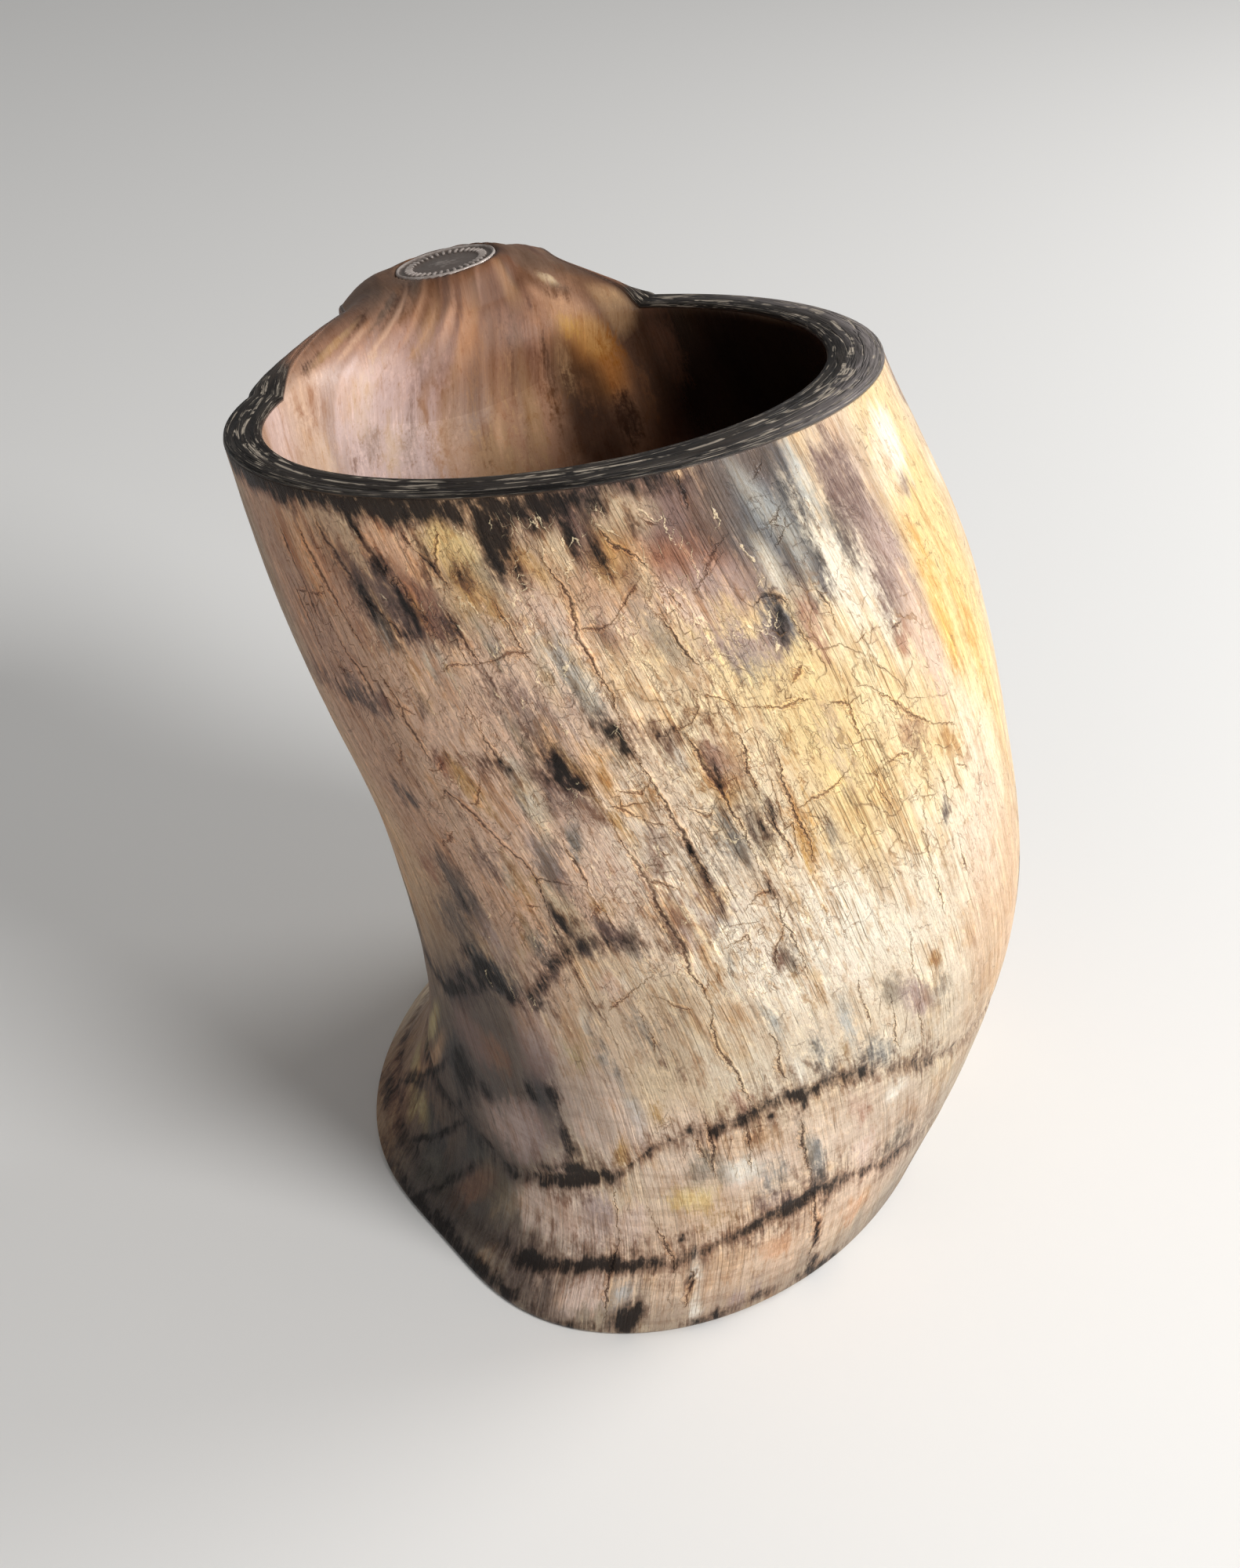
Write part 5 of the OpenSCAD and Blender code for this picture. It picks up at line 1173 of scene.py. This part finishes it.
def grainGroup():
    # streaks along the horn at three widths, clouds, thin long hairs and wrinkles; place is in centimetres
    tree, into, out = newGroup("hornGrain", [("Place", "NodeSocketVector", None)],
                               [(key, "NodeSocketFloat") for key in ("Wide", "Middle", "Fine", "Cloud", "Mottle", "Speck", "Band", "Hair", "Wrinkle")])
    place = into["Place"]
    tree.links.new(noise(tree, stretched(tree, place, 1, 1, 0.1), 2.6, 4, 0.6, 0.2), out["Wide"])
    middle = noise(tree, stretched(tree, place, 1, 1, 0.06), 9, 4, 0.65)
    tree.links.new(middle, out["Middle"])
    tree.links.new(noise(tree, stretched(tree, place, 1, 1, 0.028), 30, 3, 0.7), out["Fine"])
    tree.links.new(noise(tree, stretched(tree, place, 1, 1, 0.5), 1.5, 5, 0.65), out["Cloud"])
    tree.links.new(noise(tree, stretched(tree, place, 1, 1, 0.4), 7, 4, 0.6, 0.3), out["Mottle"])
    tree.links.new(noise(tree, stretched(tree, place, 1, 1, 0.6), 22, 3, 0.65), out["Speck"])
    tree.links.new(noise(tree, stretched(tree, place, 0.14, 0.14, 1), 5.5, 4, 0.6, 0.2), out["Band"])
    ridge = calc(tree, "ABSOLUTE", calc(tree, "SUBTRACT", noise(tree, stretched(tree, place, 1, 1, 0.03), 5, 3, 0.55), 0.5))
    tree.links.new(step(tree, ridge, 0.03, 0.004), out["Hair"])
    fold = calc(tree, "ABSOLUTE", calc(tree, "SUBTRACT", noise(tree, stretched(tree, place, 1, 1, 0.42), 4.6, 3, 0.6, 0.6), 0.5))
    tree.links.new(step(tree, fold, 0.014, 0.003), out["Wrinkle"])
    return tree


def lineGroup():
    # a line from its field (distance in mm, nearness, half width), its edge broken by the noise: the dark
    # line, the stained halo, the groove and its raised lips, each to its own multiple of the half width
    tree, into, out = newGroup("hornLine", [("Field", "NodeSocketVector", None), ("Broken", "NodeSocketFloat", 0.5)],
                               [(key, "NodeSocketFloat") for key in ("Line", "Halo", "Groove", "Lip")])
    parts = addNode(tree, "ShaderNodeSeparateXYZ", {0: into["Field"]}).outputs
    away = calc(tree, "ABSOLUTE", calc(tree, "ADD", parts[0], calc(tree, "MULTIPLY", calc(tree, "SUBTRACT", into["Broken"], 0.5), 1.3)))
    width = calc(tree, "MULTIPLY", parts[2], calc(tree, "ADD", 0.2, calc(tree, "MULTIPLY", into["Broken"], 1.6)))
    for key, low, high in (("Line", 1.1, 0.3), ("Halo", 6.0, 0.0), ("Groove", 2.2, 0.1), ("Lip", 4.4, 2.2)):
        near = addNode(tree, "ShaderNodeMapRange", {"Value": away, "From Min": calc(tree, "MULTIPLY", width, low),
                                                    "From Max": calc(tree, "MULTIPLY", width, high)},
                       interpolation_type="SMOOTHSTEP").outputs["Result"]
        tree.links.new(calc(tree, "MULTIPLY", near, parts[1]), out[key])
    return tree


def hornMaterial():
    material = bpy.data.materials.new("horn")
    material.use_nodes = True
    tree = material.node_tree
    shader = tree.nodes["Principled BSDF"]
    place = attribute(tree, "grainPlace", "Vector")
    edgePlace = attribute(tree, "edgePlace", "Vector")
    inside, sawn, stainAndShade, cover = (attribute(tree, key) for key in ("inside", "sawn", "stainAndShade", "cover"))
    paint, mark = attribute(tree, "paint", "Color"), attribute(tree, "mark", "Color")
    mapped = addNode(tree, "ShaderNodeUVMap", uv_map="hornMap").outputs[0]
    parts = addNode(tree, "ShaderNodeSeparateXYZ", {0: stretched(tree, mapped, 100, 100, 0)}).outputs
    angle, share = parts[0], parts[1]
    grain = useGroup(tree, grainGroup(), {"Place": place})
    outside = calc(tree, "SUBTRACT", 1.0, inside)
    wall = calc(tree, "MULTIPLY", outside, calc(tree, "SUBTRACT", 1.0, sawn))
    feather = calc(tree, "ADD", calc(tree, "MULTIPLY", calc(tree, "SUBTRACT", grain["Fine"], 0.5), 0.7),
                   calc(tree, "ADD", calc(tree, "MULTIPLY", calc(tree, "SUBTRACT", grain["Middle"], 0.5), 0.6),
                        calc(tree, "ADD", calc(tree, "MULTIPLY", calc(tree, "SUBTRACT", grain["Mottle"], 0.5), 1.7),
                             calc(tree, "MULTIPLY", calc(tree, "SUBTRACT", grain["Speck"], 0.5), 0.8))))

    # marks over the tints
    f = calc(tree, "MULTIPLY", step(tree, calc(tree, "ADD", cover, calc(tree, "MULTIPLY", feather, 0.8)), 0.2, 0.95), step(tree, cover, 0.02, 0.2))
    colour = mix(tree, f, paint, mark)
    # streaks: brown and pale, wide to fine; the lining has them weaker
    left = calc(tree, "MULTIPLY", step(tree, angle, -76, -96), calc(tree, "MULTIPLY", wall, step(tree, share, 34, 50)))
    crisp = calc(tree, "ADD", 1.0, calc(tree, "MULTIPLY", left, 0.6))
    much = calc(tree, "MULTIPLY", calc(tree, "MULTIPLY", calc(tree, "SUBTRACT", 1.0, calc(tree, "MULTIPLY", inside, 0.35)), crisp),
                step(tree, grain["Cloud"], 0.34, 0.6))
    plain = calc(tree, "MULTIPLY", calc(tree, "SUBTRACT", 1.0, calc(tree, "MULTIPLY", inside, 0.2)), crisp)

    def streak(colour, value, low, high, amount, other, blend="MULTIPLY"):
        over = mix(tree, 1.0, colour, other, "MULTIPLY") if blend == "MULTIPLY" else other
        return mix(tree, calc(tree, "MULTIPLY", calc(tree, "MULTIPLY", step(tree, value, low, high), amount), much), colour, over)

    for key, low, high, amount, other, blend in (
            ("Wide", 0.5, 0.66, 0.5, (0.72, 0.58, 0.47), "MULTIPLY"), ("Wide", 0.47, 0.36, 0.6, (1.16, 1.17, 1.17), "MULTIPLY"),
            ("Middle", 0.54, 0.64, 0.5, (0.62, 0.47, 0.32), "MULTIPLY"), ("Middle", 0.46, 0.36, 0.7, (1.25, 1.26, 1.24), "MULTIPLY"),
            ("Fine", 0.55, 0.66, 0.36, (0.57, 0.43, 0.3), "MULTIPLY"), ("Fine", 0.45, 0.34, 0.6, (1.28, 1.3, 1.28), "MULTIPLY")):
        colour = streak(colour, grain[key], low, high, amount, other, blend)
    much = plain
    for key, low, high, amount, other, blend in (
            ("Cloud", 0.53, 0.66, 0.5, (0.9, 0.75, 0.54), "MULTIPLY"), ("Cloud", 0.46, 0.36, 0.3, (0.92, 0.84, 0.82), "MULTIPLY"),
            ("Mottle", 0.54, 0.63, 0.42, (0.74, 0.58, 0.42), "MULTIPLY"), ("Mottle", 0.46, 0.34, 0.7, (1.22, 1.22, 1.18), "MULTIPLY"),
            ("Speck", 0.56, 0.66, 0.4, (0.62, 0.46, 0.32), "MULTIPLY"), ("Speck", 0.42, 0.32, 0.6, (1.28, 1.28, 1.24), "MULTIPLY")):
        colour = streak(colour, grain[key], low, high, amount, other, blend)
    much = calc(tree, "MULTIPLY", wall, step(tree, share, 46, 24))
    colour = streak(colour, grain["Band"], 0.52, 0.62, 0.5, (0.72, 0.64, 0.58))
    colour = streak(colour, grain["Band"], 0.46, 0.36, 0.5, (1.16, 1.18, 1.22))
    low = calc(tree, "MULTIPLY", calc(tree, "MULTIPLY", step(tree, share, 46, 16), step(tree, angle, -155, -140)), wall)
    colour = mix(tree, low, colour, mix(tree, 1.0, colour, (1.0, 1.05, 1.15), "MULTIPLY"))
    # The left flank of the wall is lightened by some 7 percent here: painted light.
    colour = mix(tree, left, colour, mix(tree, 1.0, colour, (1.08, 1.06, 1.06), "MULTIPLY"))
    crest = calc(tree, "MULTIPLY", calc(tree, "MULTIPLY", step(tree, share, 98, 103), inside),
                 calc(tree, "MULTIPLY", step(tree, angle, 132, 118), step(tree, angle, 76, 84)))
    colour = mix(tree, calc(tree, "MULTIPLY", crest, 0.85), colour, mix(tree, 1.0, colour, (0.62, 0.54, 0.52), "MULTIPLY"))
    grooved = calc(tree, "MULTIPLY", calc(tree, "MULTIPLY", step(tree, angle, -118, -104), step(tree, angle, -58, -70)),
                   calc(tree, "MULTIPLY", step(tree, share, 36, 46), step(tree, share, 84, 74)))
    grooved = calc(tree, "ADD", calc(tree, "MULTIPLY", grooved, 0.5), 0.5)
    hairs = calc(tree, "MULTIPLY", calc(tree, "MULTIPLY", grain["Hair"], step(tree, grain["Cloud"], 0.42, 0.56)), calc(tree, "MULTIPLY", wall, grooved))
    colour = mix(tree, calc(tree, "MULTIPLY", hairs, 0.6), colour, mix(tree, 1.0, colour, (0.62, 0.44, 0.27), "MULTIPLY"))

    # dark stains and the painted contact shadow along the foot: a brown halo round a black core, both with feathered,
    # streaky borders
    rough = calc(tree, "ADD", stainAndShade, calc(tree, "MULTIPLY", feather, 0.8))
    halo = calc(tree, "MULTIPLY", step(tree, rough, 0.02, 0.5), step(tree, stainAndShade, 0.02, 0.2))
    core = calc(tree, "MULTIPLY", step(tree, rough, 0.35, 0.85), step(tree, stainAndShade, 0.1, 0.4))
    colour = mix(tree, calc(tree, "MULTIPLY", halo, 0.75), colour, mix(tree, 1.0, colour, (0.36, 0.24, 0.17), "MULTIPLY"))
    colour = mix(tree, calc(tree, "MULTIPLY", core, 0.94), colour, (0.012, 0.009, 0.008))

    # cracks, brown scratches, pale and brown hair scratches, wrinkles, fine mud cracks, and a painted highlight on the
    # raised lips beside cracks and scratches
    lineTree = lineGroup()
    broken = noise(tree, place, 14, 2)
    crack, scratch, hair, fleck = (useGroup(tree, lineTree, {"Field": attribute(tree, key, "Vector"), "Broken": broken})
                                   for key in ("crack", "scratch", "hair", "fleck"))
    cells = addNode(tree, "ShaderNodeTexVoronoi", {"Vector": addNode(tree, "ShaderNodeVectorMath", {
        0: stretched(tree, place, 1, 1, 0.8),
        1: stretched(tree, addNode(tree, "ShaderNodeTexNoise", {"Vector": place, "Scale": 2.5, "Detail": 3}).outputs["Color"], 0.5, 0.5, 0.5)},
        operation="ADD").outputs[0], "Scale": 1.6}, feature="DISTANCE_TO_EDGE").outputs["Distance"]
    mud = step(tree, cells, 0.035, 0.006)
    zone = calc(tree, "MULTIPLY", step(tree, angle, -112, -98), step(tree, angle, -46, -56))
    zone = calc(tree, "MULTIPLY", zone, calc(tree, "MULTIPLY", step(tree, share, 50, 60), step(tree, share, 92, 84)))
    zone = calc(tree, "MULTIPLY", zone, step(tree, grain["Cloud"], 0.45, 0.58))
    mud = calc(tree, "MULTIPLY", calc(tree, "MULTIPLY", mud, zone), wall)
    folds = calc(tree, "MULTIPLY", calc(tree, "MULTIPLY", grain["Wrinkle"], step(tree, grain["Cloud"], 0.54, 0.44)), wall)
    folds = calc(tree, "MULTIPLY", folds, step(tree, share, 30, 60))
    lines = calc(tree, "MAXIMUM", crack["Line"], calc(tree, "MULTIPLY", scratch["Line"], 0.8))
    halos = calc(tree, "MAXIMUM", crack["Halo"], scratch["Halo"])
    colour = mix(tree, calc(tree, "MULTIPLY", halos, 0.42), colour, mix(tree, 1.0, colour, (0.74, 0.55, 0.36), "MULTIPLY"))
    colour = mix(tree, calc(tree, "MULTIPLY", folds, 0.5), colour, mix(tree, 1.0, colour, (0.5, 0.32, 0.18), "MULTIPLY"))
    colour = mix(tree, calc(tree, "MULTIPLY", mud, 0.6), colour, (0.3, 0.155, 0.06))
    colour = mix(tree, calc(tree, "MULTIPLY", fleck["Line"], 0.6), colour, (0.82, 0.68, 0.46))
    # The raised lips beside cracks and scratches are lightened in colour: a painted highlight.
    lipsAndHighlight = calc(tree, "MAXIMUM", crack["Lip"], calc(tree, "MAXIMUM", scratch["Lip"], fleck["Groove"]))
    lipsAndHighlight = calc(tree, "MULTIPLY", lipsAndHighlight, calc(tree, "SUBTRACT", 1.0, calc(tree, "MAXIMUM", crack["Groove"], scratch["Groove"])))
    colour = mix(tree, calc(tree, "MULTIPLY", lipsAndHighlight, 0.8), colour, mix(tree, 1.0, colour, (1.45, 1.4, 1.3), "MULTIPLY"))
    for line, amount, other in ((scratch, 0.8, (0.36, 0.21, 0.11)), (hair, 0.75, (0.4, 0.25, 0.15)), (crack, 0.88, (0.17, 0.1, 0.06))):
        colour = mix(tree, calc(tree, "MULTIPLY", line["Line"], amount), colour, mix(tree, 1.0, colour, other, "MULTIPLY"))

    # the sawn edge: black with thin pale layers along it, a painted grey sheen along its outer side and more of it at
    # the right, brown along the strip
    across = calc(tree, "ADD", addNode(tree, "ShaderNodeSeparateXYZ", {0: edgePlace}).outputs[2], 0)
    layers = noise(tree, stretched(tree, edgePlace, 0.45, 0.45, 9), 1.2, 4, 0.6, 0.1)
    fine = noise(tree, stretched(tree, edgePlace, 1.6, 1.6, 7), 1.6, 3, 0.6)
    split = calc(tree, "ABSOLUTE", calc(tree, "SUBTRACT", noise(tree, stretched(tree, edgePlace, 0.4, 0.4, 14), 1.0, 3, 0.55), 0.5))
    pale = calc(tree, "MULTIPLY", step(tree, split, 0.03, 0.006), step(tree, fine, 0.45, 0.56))
    wander = noise(tree, edgePlace, 0.35, 1)
    wave = calc(tree, "SINE", calc(tree, "ADD", calc(tree, "MULTIPLY", across, 44), calc(tree, "MULTIPLY", wander, 14)))
    lit = calc(tree, "MULTIPLY", step(tree, wave, 0.78, 0.97), step(tree, fine, 0.47, 0.55))
    # Pale grey patches along the outer side of the band: a painted sheen.
    wearAndSheen = calc(tree, "MULTIPLY", step(tree, calc(tree, "ABSOLUTE", calc(tree, "ADD", across, 0.22)), 0.16, 0.05), step(tree, layers, 0.48, 0.6))
    right = calc(tree, "MULTIPLY", step(tree, angle, -80, -40), step(tree, angle, 60, 20))
    sawnColour = mix(tree, step(tree, layers, 0.4, 0.66), (0.0105, 0.0075, 0.006), (0.038, 0.03, 0.024))
    # The outer part of the band at the right is painted grey as the sheen on its rounded bevel.
    bevelSheen = calc(tree, "MULTIPLY", right, step(tree, calc(tree, "ADD", across, calc(tree, "MULTIPLY", layers, 0.3)), 0.22, -0.02))
    sawnColour = mix(tree, calc(tree, "MULTIPLY", bevelSheen, 0.8), sawnColour, (0.3, 0.262, 0.25))
    sawnColour = mix(tree, calc(tree, "MULTIPLY", wearAndSheen, 0.6), sawnColour, (0.17, 0.15, 0.135))
    sawnColour = mix(tree, calc(tree, "MULTIPLY", calc(tree, "MAXIMUM", pale, lit), 0.85), sawnColour, (0.46, 0.39, 0.31))
    sawnColour = mix(tree, calc(tree, "MULTIPLY", attribute(tree, "strip"), 0.8), sawnColour, (0.085, 0.052, 0.034))
    edge = step(tree, calc(tree, "ADD", sawn, calc(tree, "MULTIPLY", feather, 0.3)), 0.1, 0.5)
    colour = mix(tree, edge, colour, sawnColour)
    tree.links.new(colour, shader.inputs["Base Color"])

    # gloss: satin wall, polished patch under the mouth, polished lining
    polish = calc(tree, "MULTIPLY", calc(tree, "MULTIPLY", step(tree, angle, -84, -80), step(tree, angle, -54, -58)),
                  calc(tree, "MULTIPLY", step(tree, share, 86, 90), wall))
    rough = calc(tree, "ADD", 0.36, calc(tree, "MULTIPLY", grain["Cloud"], 0.25))
    rough = calc(tree, "SUBTRACT", rough, calc(tree, "MULTIPLY", polish, 0.2))
    matte = step(tree, share, 99.5, 106)
    rough = calc(tree, "SUBTRACT", rough, calc(tree, "MULTIPLY", inside, calc(tree, "SUBTRACT", 0.28, calc(tree, "MULTIPLY", matte, 0.3))))
    rough = calc(tree, "ADD", rough, calc(tree, "MULTIPLY", calc(tree, "MAXIMUM", lines, mud), 0.3), clamp=True)
    tree.links.new(rough, shader.inputs["Roughness"])
    dull = calc(tree, "MAXIMUM", calc(tree, "MULTIPLY", sawn, 0.75), calc(tree, "MAXIMUM", calc(tree, "MULTIPLY", core, 0.7), calc(tree, "MULTIPLY", matte, 0.6)))
    tree.links.new(calc(tree, "MULTIPLY", calc(tree, "SUBTRACT", 1.0, dull), 0.5), shader.inputs["Specular IOR Level"])
    shader.inputs["IOR"].default_value = 1.54

    # relief in millimetres: grain, cracks and their lips, layers of the sawn edge
    height = calc(tree, "ADD", calc(tree, "MULTIPLY", grain["Fine"], 0.22), calc(tree, "MULTIPLY", grain["Middle"], 0.45))
    height = calc(tree, "ADD", height, calc(tree, "ADD", calc(tree, "MULTIPLY", grain["Mottle"], 0.25), calc(tree, "MULTIPLY", grain["Speck"], 0.12)))
    height = calc(tree, "SUBTRACT", height, calc(tree, "ADD", calc(tree, "MULTIPLY", hairs, 0.22), calc(tree, "MULTIPLY", folds, 0.1)))
    height = calc(tree, "MULTIPLY", height, calc(tree, "SUBTRACT", 1.0, calc(tree, "MULTIPLY", inside, 0.85)))
    grooves = calc(tree, "MAXIMUM", crack["Groove"], calc(tree, "MAXIMUM", scratch["Groove"], calc(tree, "MULTIPLY", hair["Groove"], 0.25)))
    height = calc(tree, "SUBTRACT", height, calc(tree, "MULTIPLY", grooves, 0.32))
    lipsAndHighlight = calc(tree, "MAXIMUM", crack["Lip"], calc(tree, "MAXIMUM", scratch["Lip"], calc(tree, "MAXIMUM", hair["Lip"], fleck["Groove"])))
    height = calc(tree, "ADD", height, calc(tree, "MULTIPLY", lipsAndHighlight, 0.14))
    height = calc(tree, "SUBTRACT", height, calc(tree, "MULTIPLY", mud, 0.15))
    sawnHeight = calc(tree, "ADD", calc(tree, "MULTIPLY", layers, 1.0), calc(tree, "MULTIPLY", step(tree, split, 0.0, 0.06), 0.35))
    height = calc(tree, "ADD", calc(tree, "MULTIPLY", height, calc(tree, "SUBTRACT", 1.0, sawn)), calc(tree, "MULTIPLY", sawnHeight, sawn))
    bump = addNode(tree, "ShaderNodeBump", {"Height": height, "Strength": 1.0, "Distance": 0.001})
    tree.links.new(bump.outputs[0], shader.inputs["Normal"])
    return material


def plainTextured(name, light, dark, scale, stretch, roughness, metallic=0.0, bumpDistance=0.0002):
    # a finish on object coordinates: noise between two paints, roughness and bump from the same noise
    material = bpy.data.materials.new(name)
    material.use_nodes = True
    tree = material.node_tree
    shader = tree.nodes["Principled BSDF"]
    place = addNode(tree, "ShaderNodeTexCoord").outputs["Object"]
    value = noise(tree, stretched(tree, place, *stretch), scale, 5, 0.65, 0.4)
    fine = noise(tree, stretched(tree, place, *stretch), scale * 5, 3, 0.7)
    colour = mix(tree, step(tree, value, 0.35, 0.68), light, dark)
    colour = mix(tree, calc(tree, "MULTIPLY", step(tree, fine, 0.5, 0.75), 0.5), colour, dark)
    tree.links.new(colour, shader.inputs["Base Color"])
    tree.links.new(calc(tree, "ADD", roughness - 0.1, calc(tree, "MULTIPLY", value, 0.25)), shader.inputs["Roughness"])
    shader.inputs["Metallic"].default_value = metallic
    bump = addNode(tree, "ShaderNodeBump", {"Height": calc(tree, "ADD", value, calc(tree, "MULTIPLY", fine, 0.4)),
                                            "Strength": 0.5, "Distance": bumpDistance})
    tree.links.new(bump.outputs[0], shader.inputs["Normal"])
    return material


def pewterMaterial():
    # pewter darkened in its hollows and bright where it is raised and rubbed
    material = plainTextured("pewter", (0.66, 0.58, 0.53), (0.42, 0.35, 0.31), 420, (1, 1, 1), 0.42, 0.45)
    tree = material.node_tree
    shader = tree.nodes["Principled BSDF"]
    wearAndSheen = shader.inputs["Base Color"].links[0].from_socket
    grime = noise(tree, addNode(tree, "ShaderNodeTexCoord").outputs["Object"], 900, 3, 0.6)
    rubbed = step(tree, calc(tree, "ADD", attribute(tree, "raised"), calc(tree, "MULTIPLY", calc(tree, "SUBTRACT", grime, 0.5), 0.9)), 0.1, 0.8)
    tree.links.new(mix(tree, rubbed, (0.17, 0.132, 0.112), wearAndSheen), shader.inputs["Base Color"])
    return material


hornCup.data.materials.append(hornMaterial())
medallion.data.materials.append(pewterMaterial())
pins.data.materials.append(plainTextured("pinBrass", (0.5, 0.34, 0.14), (0.2, 0.12, 0.06), 500, (1, 1, 1), 0.4, 0.9))
base.data.materials.append(plainTextured("baseWood", (0.12, 0.07, 0.04), (0.04, 0.022, 0.014), 60, (1, 9, 1), 0.5))
bead.data.materials.append(plainTextured("wax", (0.55, 0.36, 0.12), (0.38, 0.22, 0.07), 150, (1, 1, 1), 0.5))
print("materials built")

# Floor, lamps in metres and watts, and world
stageSet = {
    "floor": 3.0, "floorPaint": (0.84, 0.83, 0.81),
    "lamps": [
        ("keyLamp", (0.43, -0.68, 0.72), 0.4, 8.2), ("windowLamp", (0.85, 0.05, 0.42), 0.5, 5.0),
        ("fillLamp", (-0.8, -0.5, 0.6), 0.9, 0.4),
    ],
    "aim": (0, 0, 0.09), "world": 0.24,
}


def buildStage(q):
    half = q["floor"] / 2
    mesh = bpy.data.meshes.new("floorPlane")
    mesh.from_pydata([(-half, -half, 0), (half, -half, 0), (half, half, 0), (-half, half, 0)], [], [(0, 1, 2, 3)])
    floor = bpy.data.objects.new("floorPlane", mesh)
    scene.collection.objects.link(floor)
    material = bpy.data.materials.new("floorPaint")
    material.use_nodes = True
    shader = material.node_tree.nodes["Principled BSDF"]
    shader.inputs["Base Color"].default_value = q["floorPaint"] + (1,)
    shader.inputs["Roughness"].default_value = 0.9
    mesh.materials.append(material)
    for name, place, size, power in q["lamps"]:
        data = bpy.data.lights.new(name, "AREA")
        data.shape, data.size, data.energy = "DISK", size, power
        lamp = bpy.data.objects.new(name, data)
        scene.collection.objects.link(lamp)
        away = Vector(place) - Vector(q["aim"])
        lamp.matrix_world = Matrix.Translation(Vector(place)) @ away.to_track_quat("Z", "Y").to_matrix().to_4x4()
    world = bpy.data.worlds.new("studio")
    world.use_nodes = True
    back = world.node_tree.nodes["Background"]
    back.inputs["Color"].default_value = (1, 1, 1, 1)
    back.inputs["Strength"].default_value = q["world"]
    scene.world = world
    scene.view_settings.view_transform = "Standard"


buildStage(stageSet)
print("stage set")
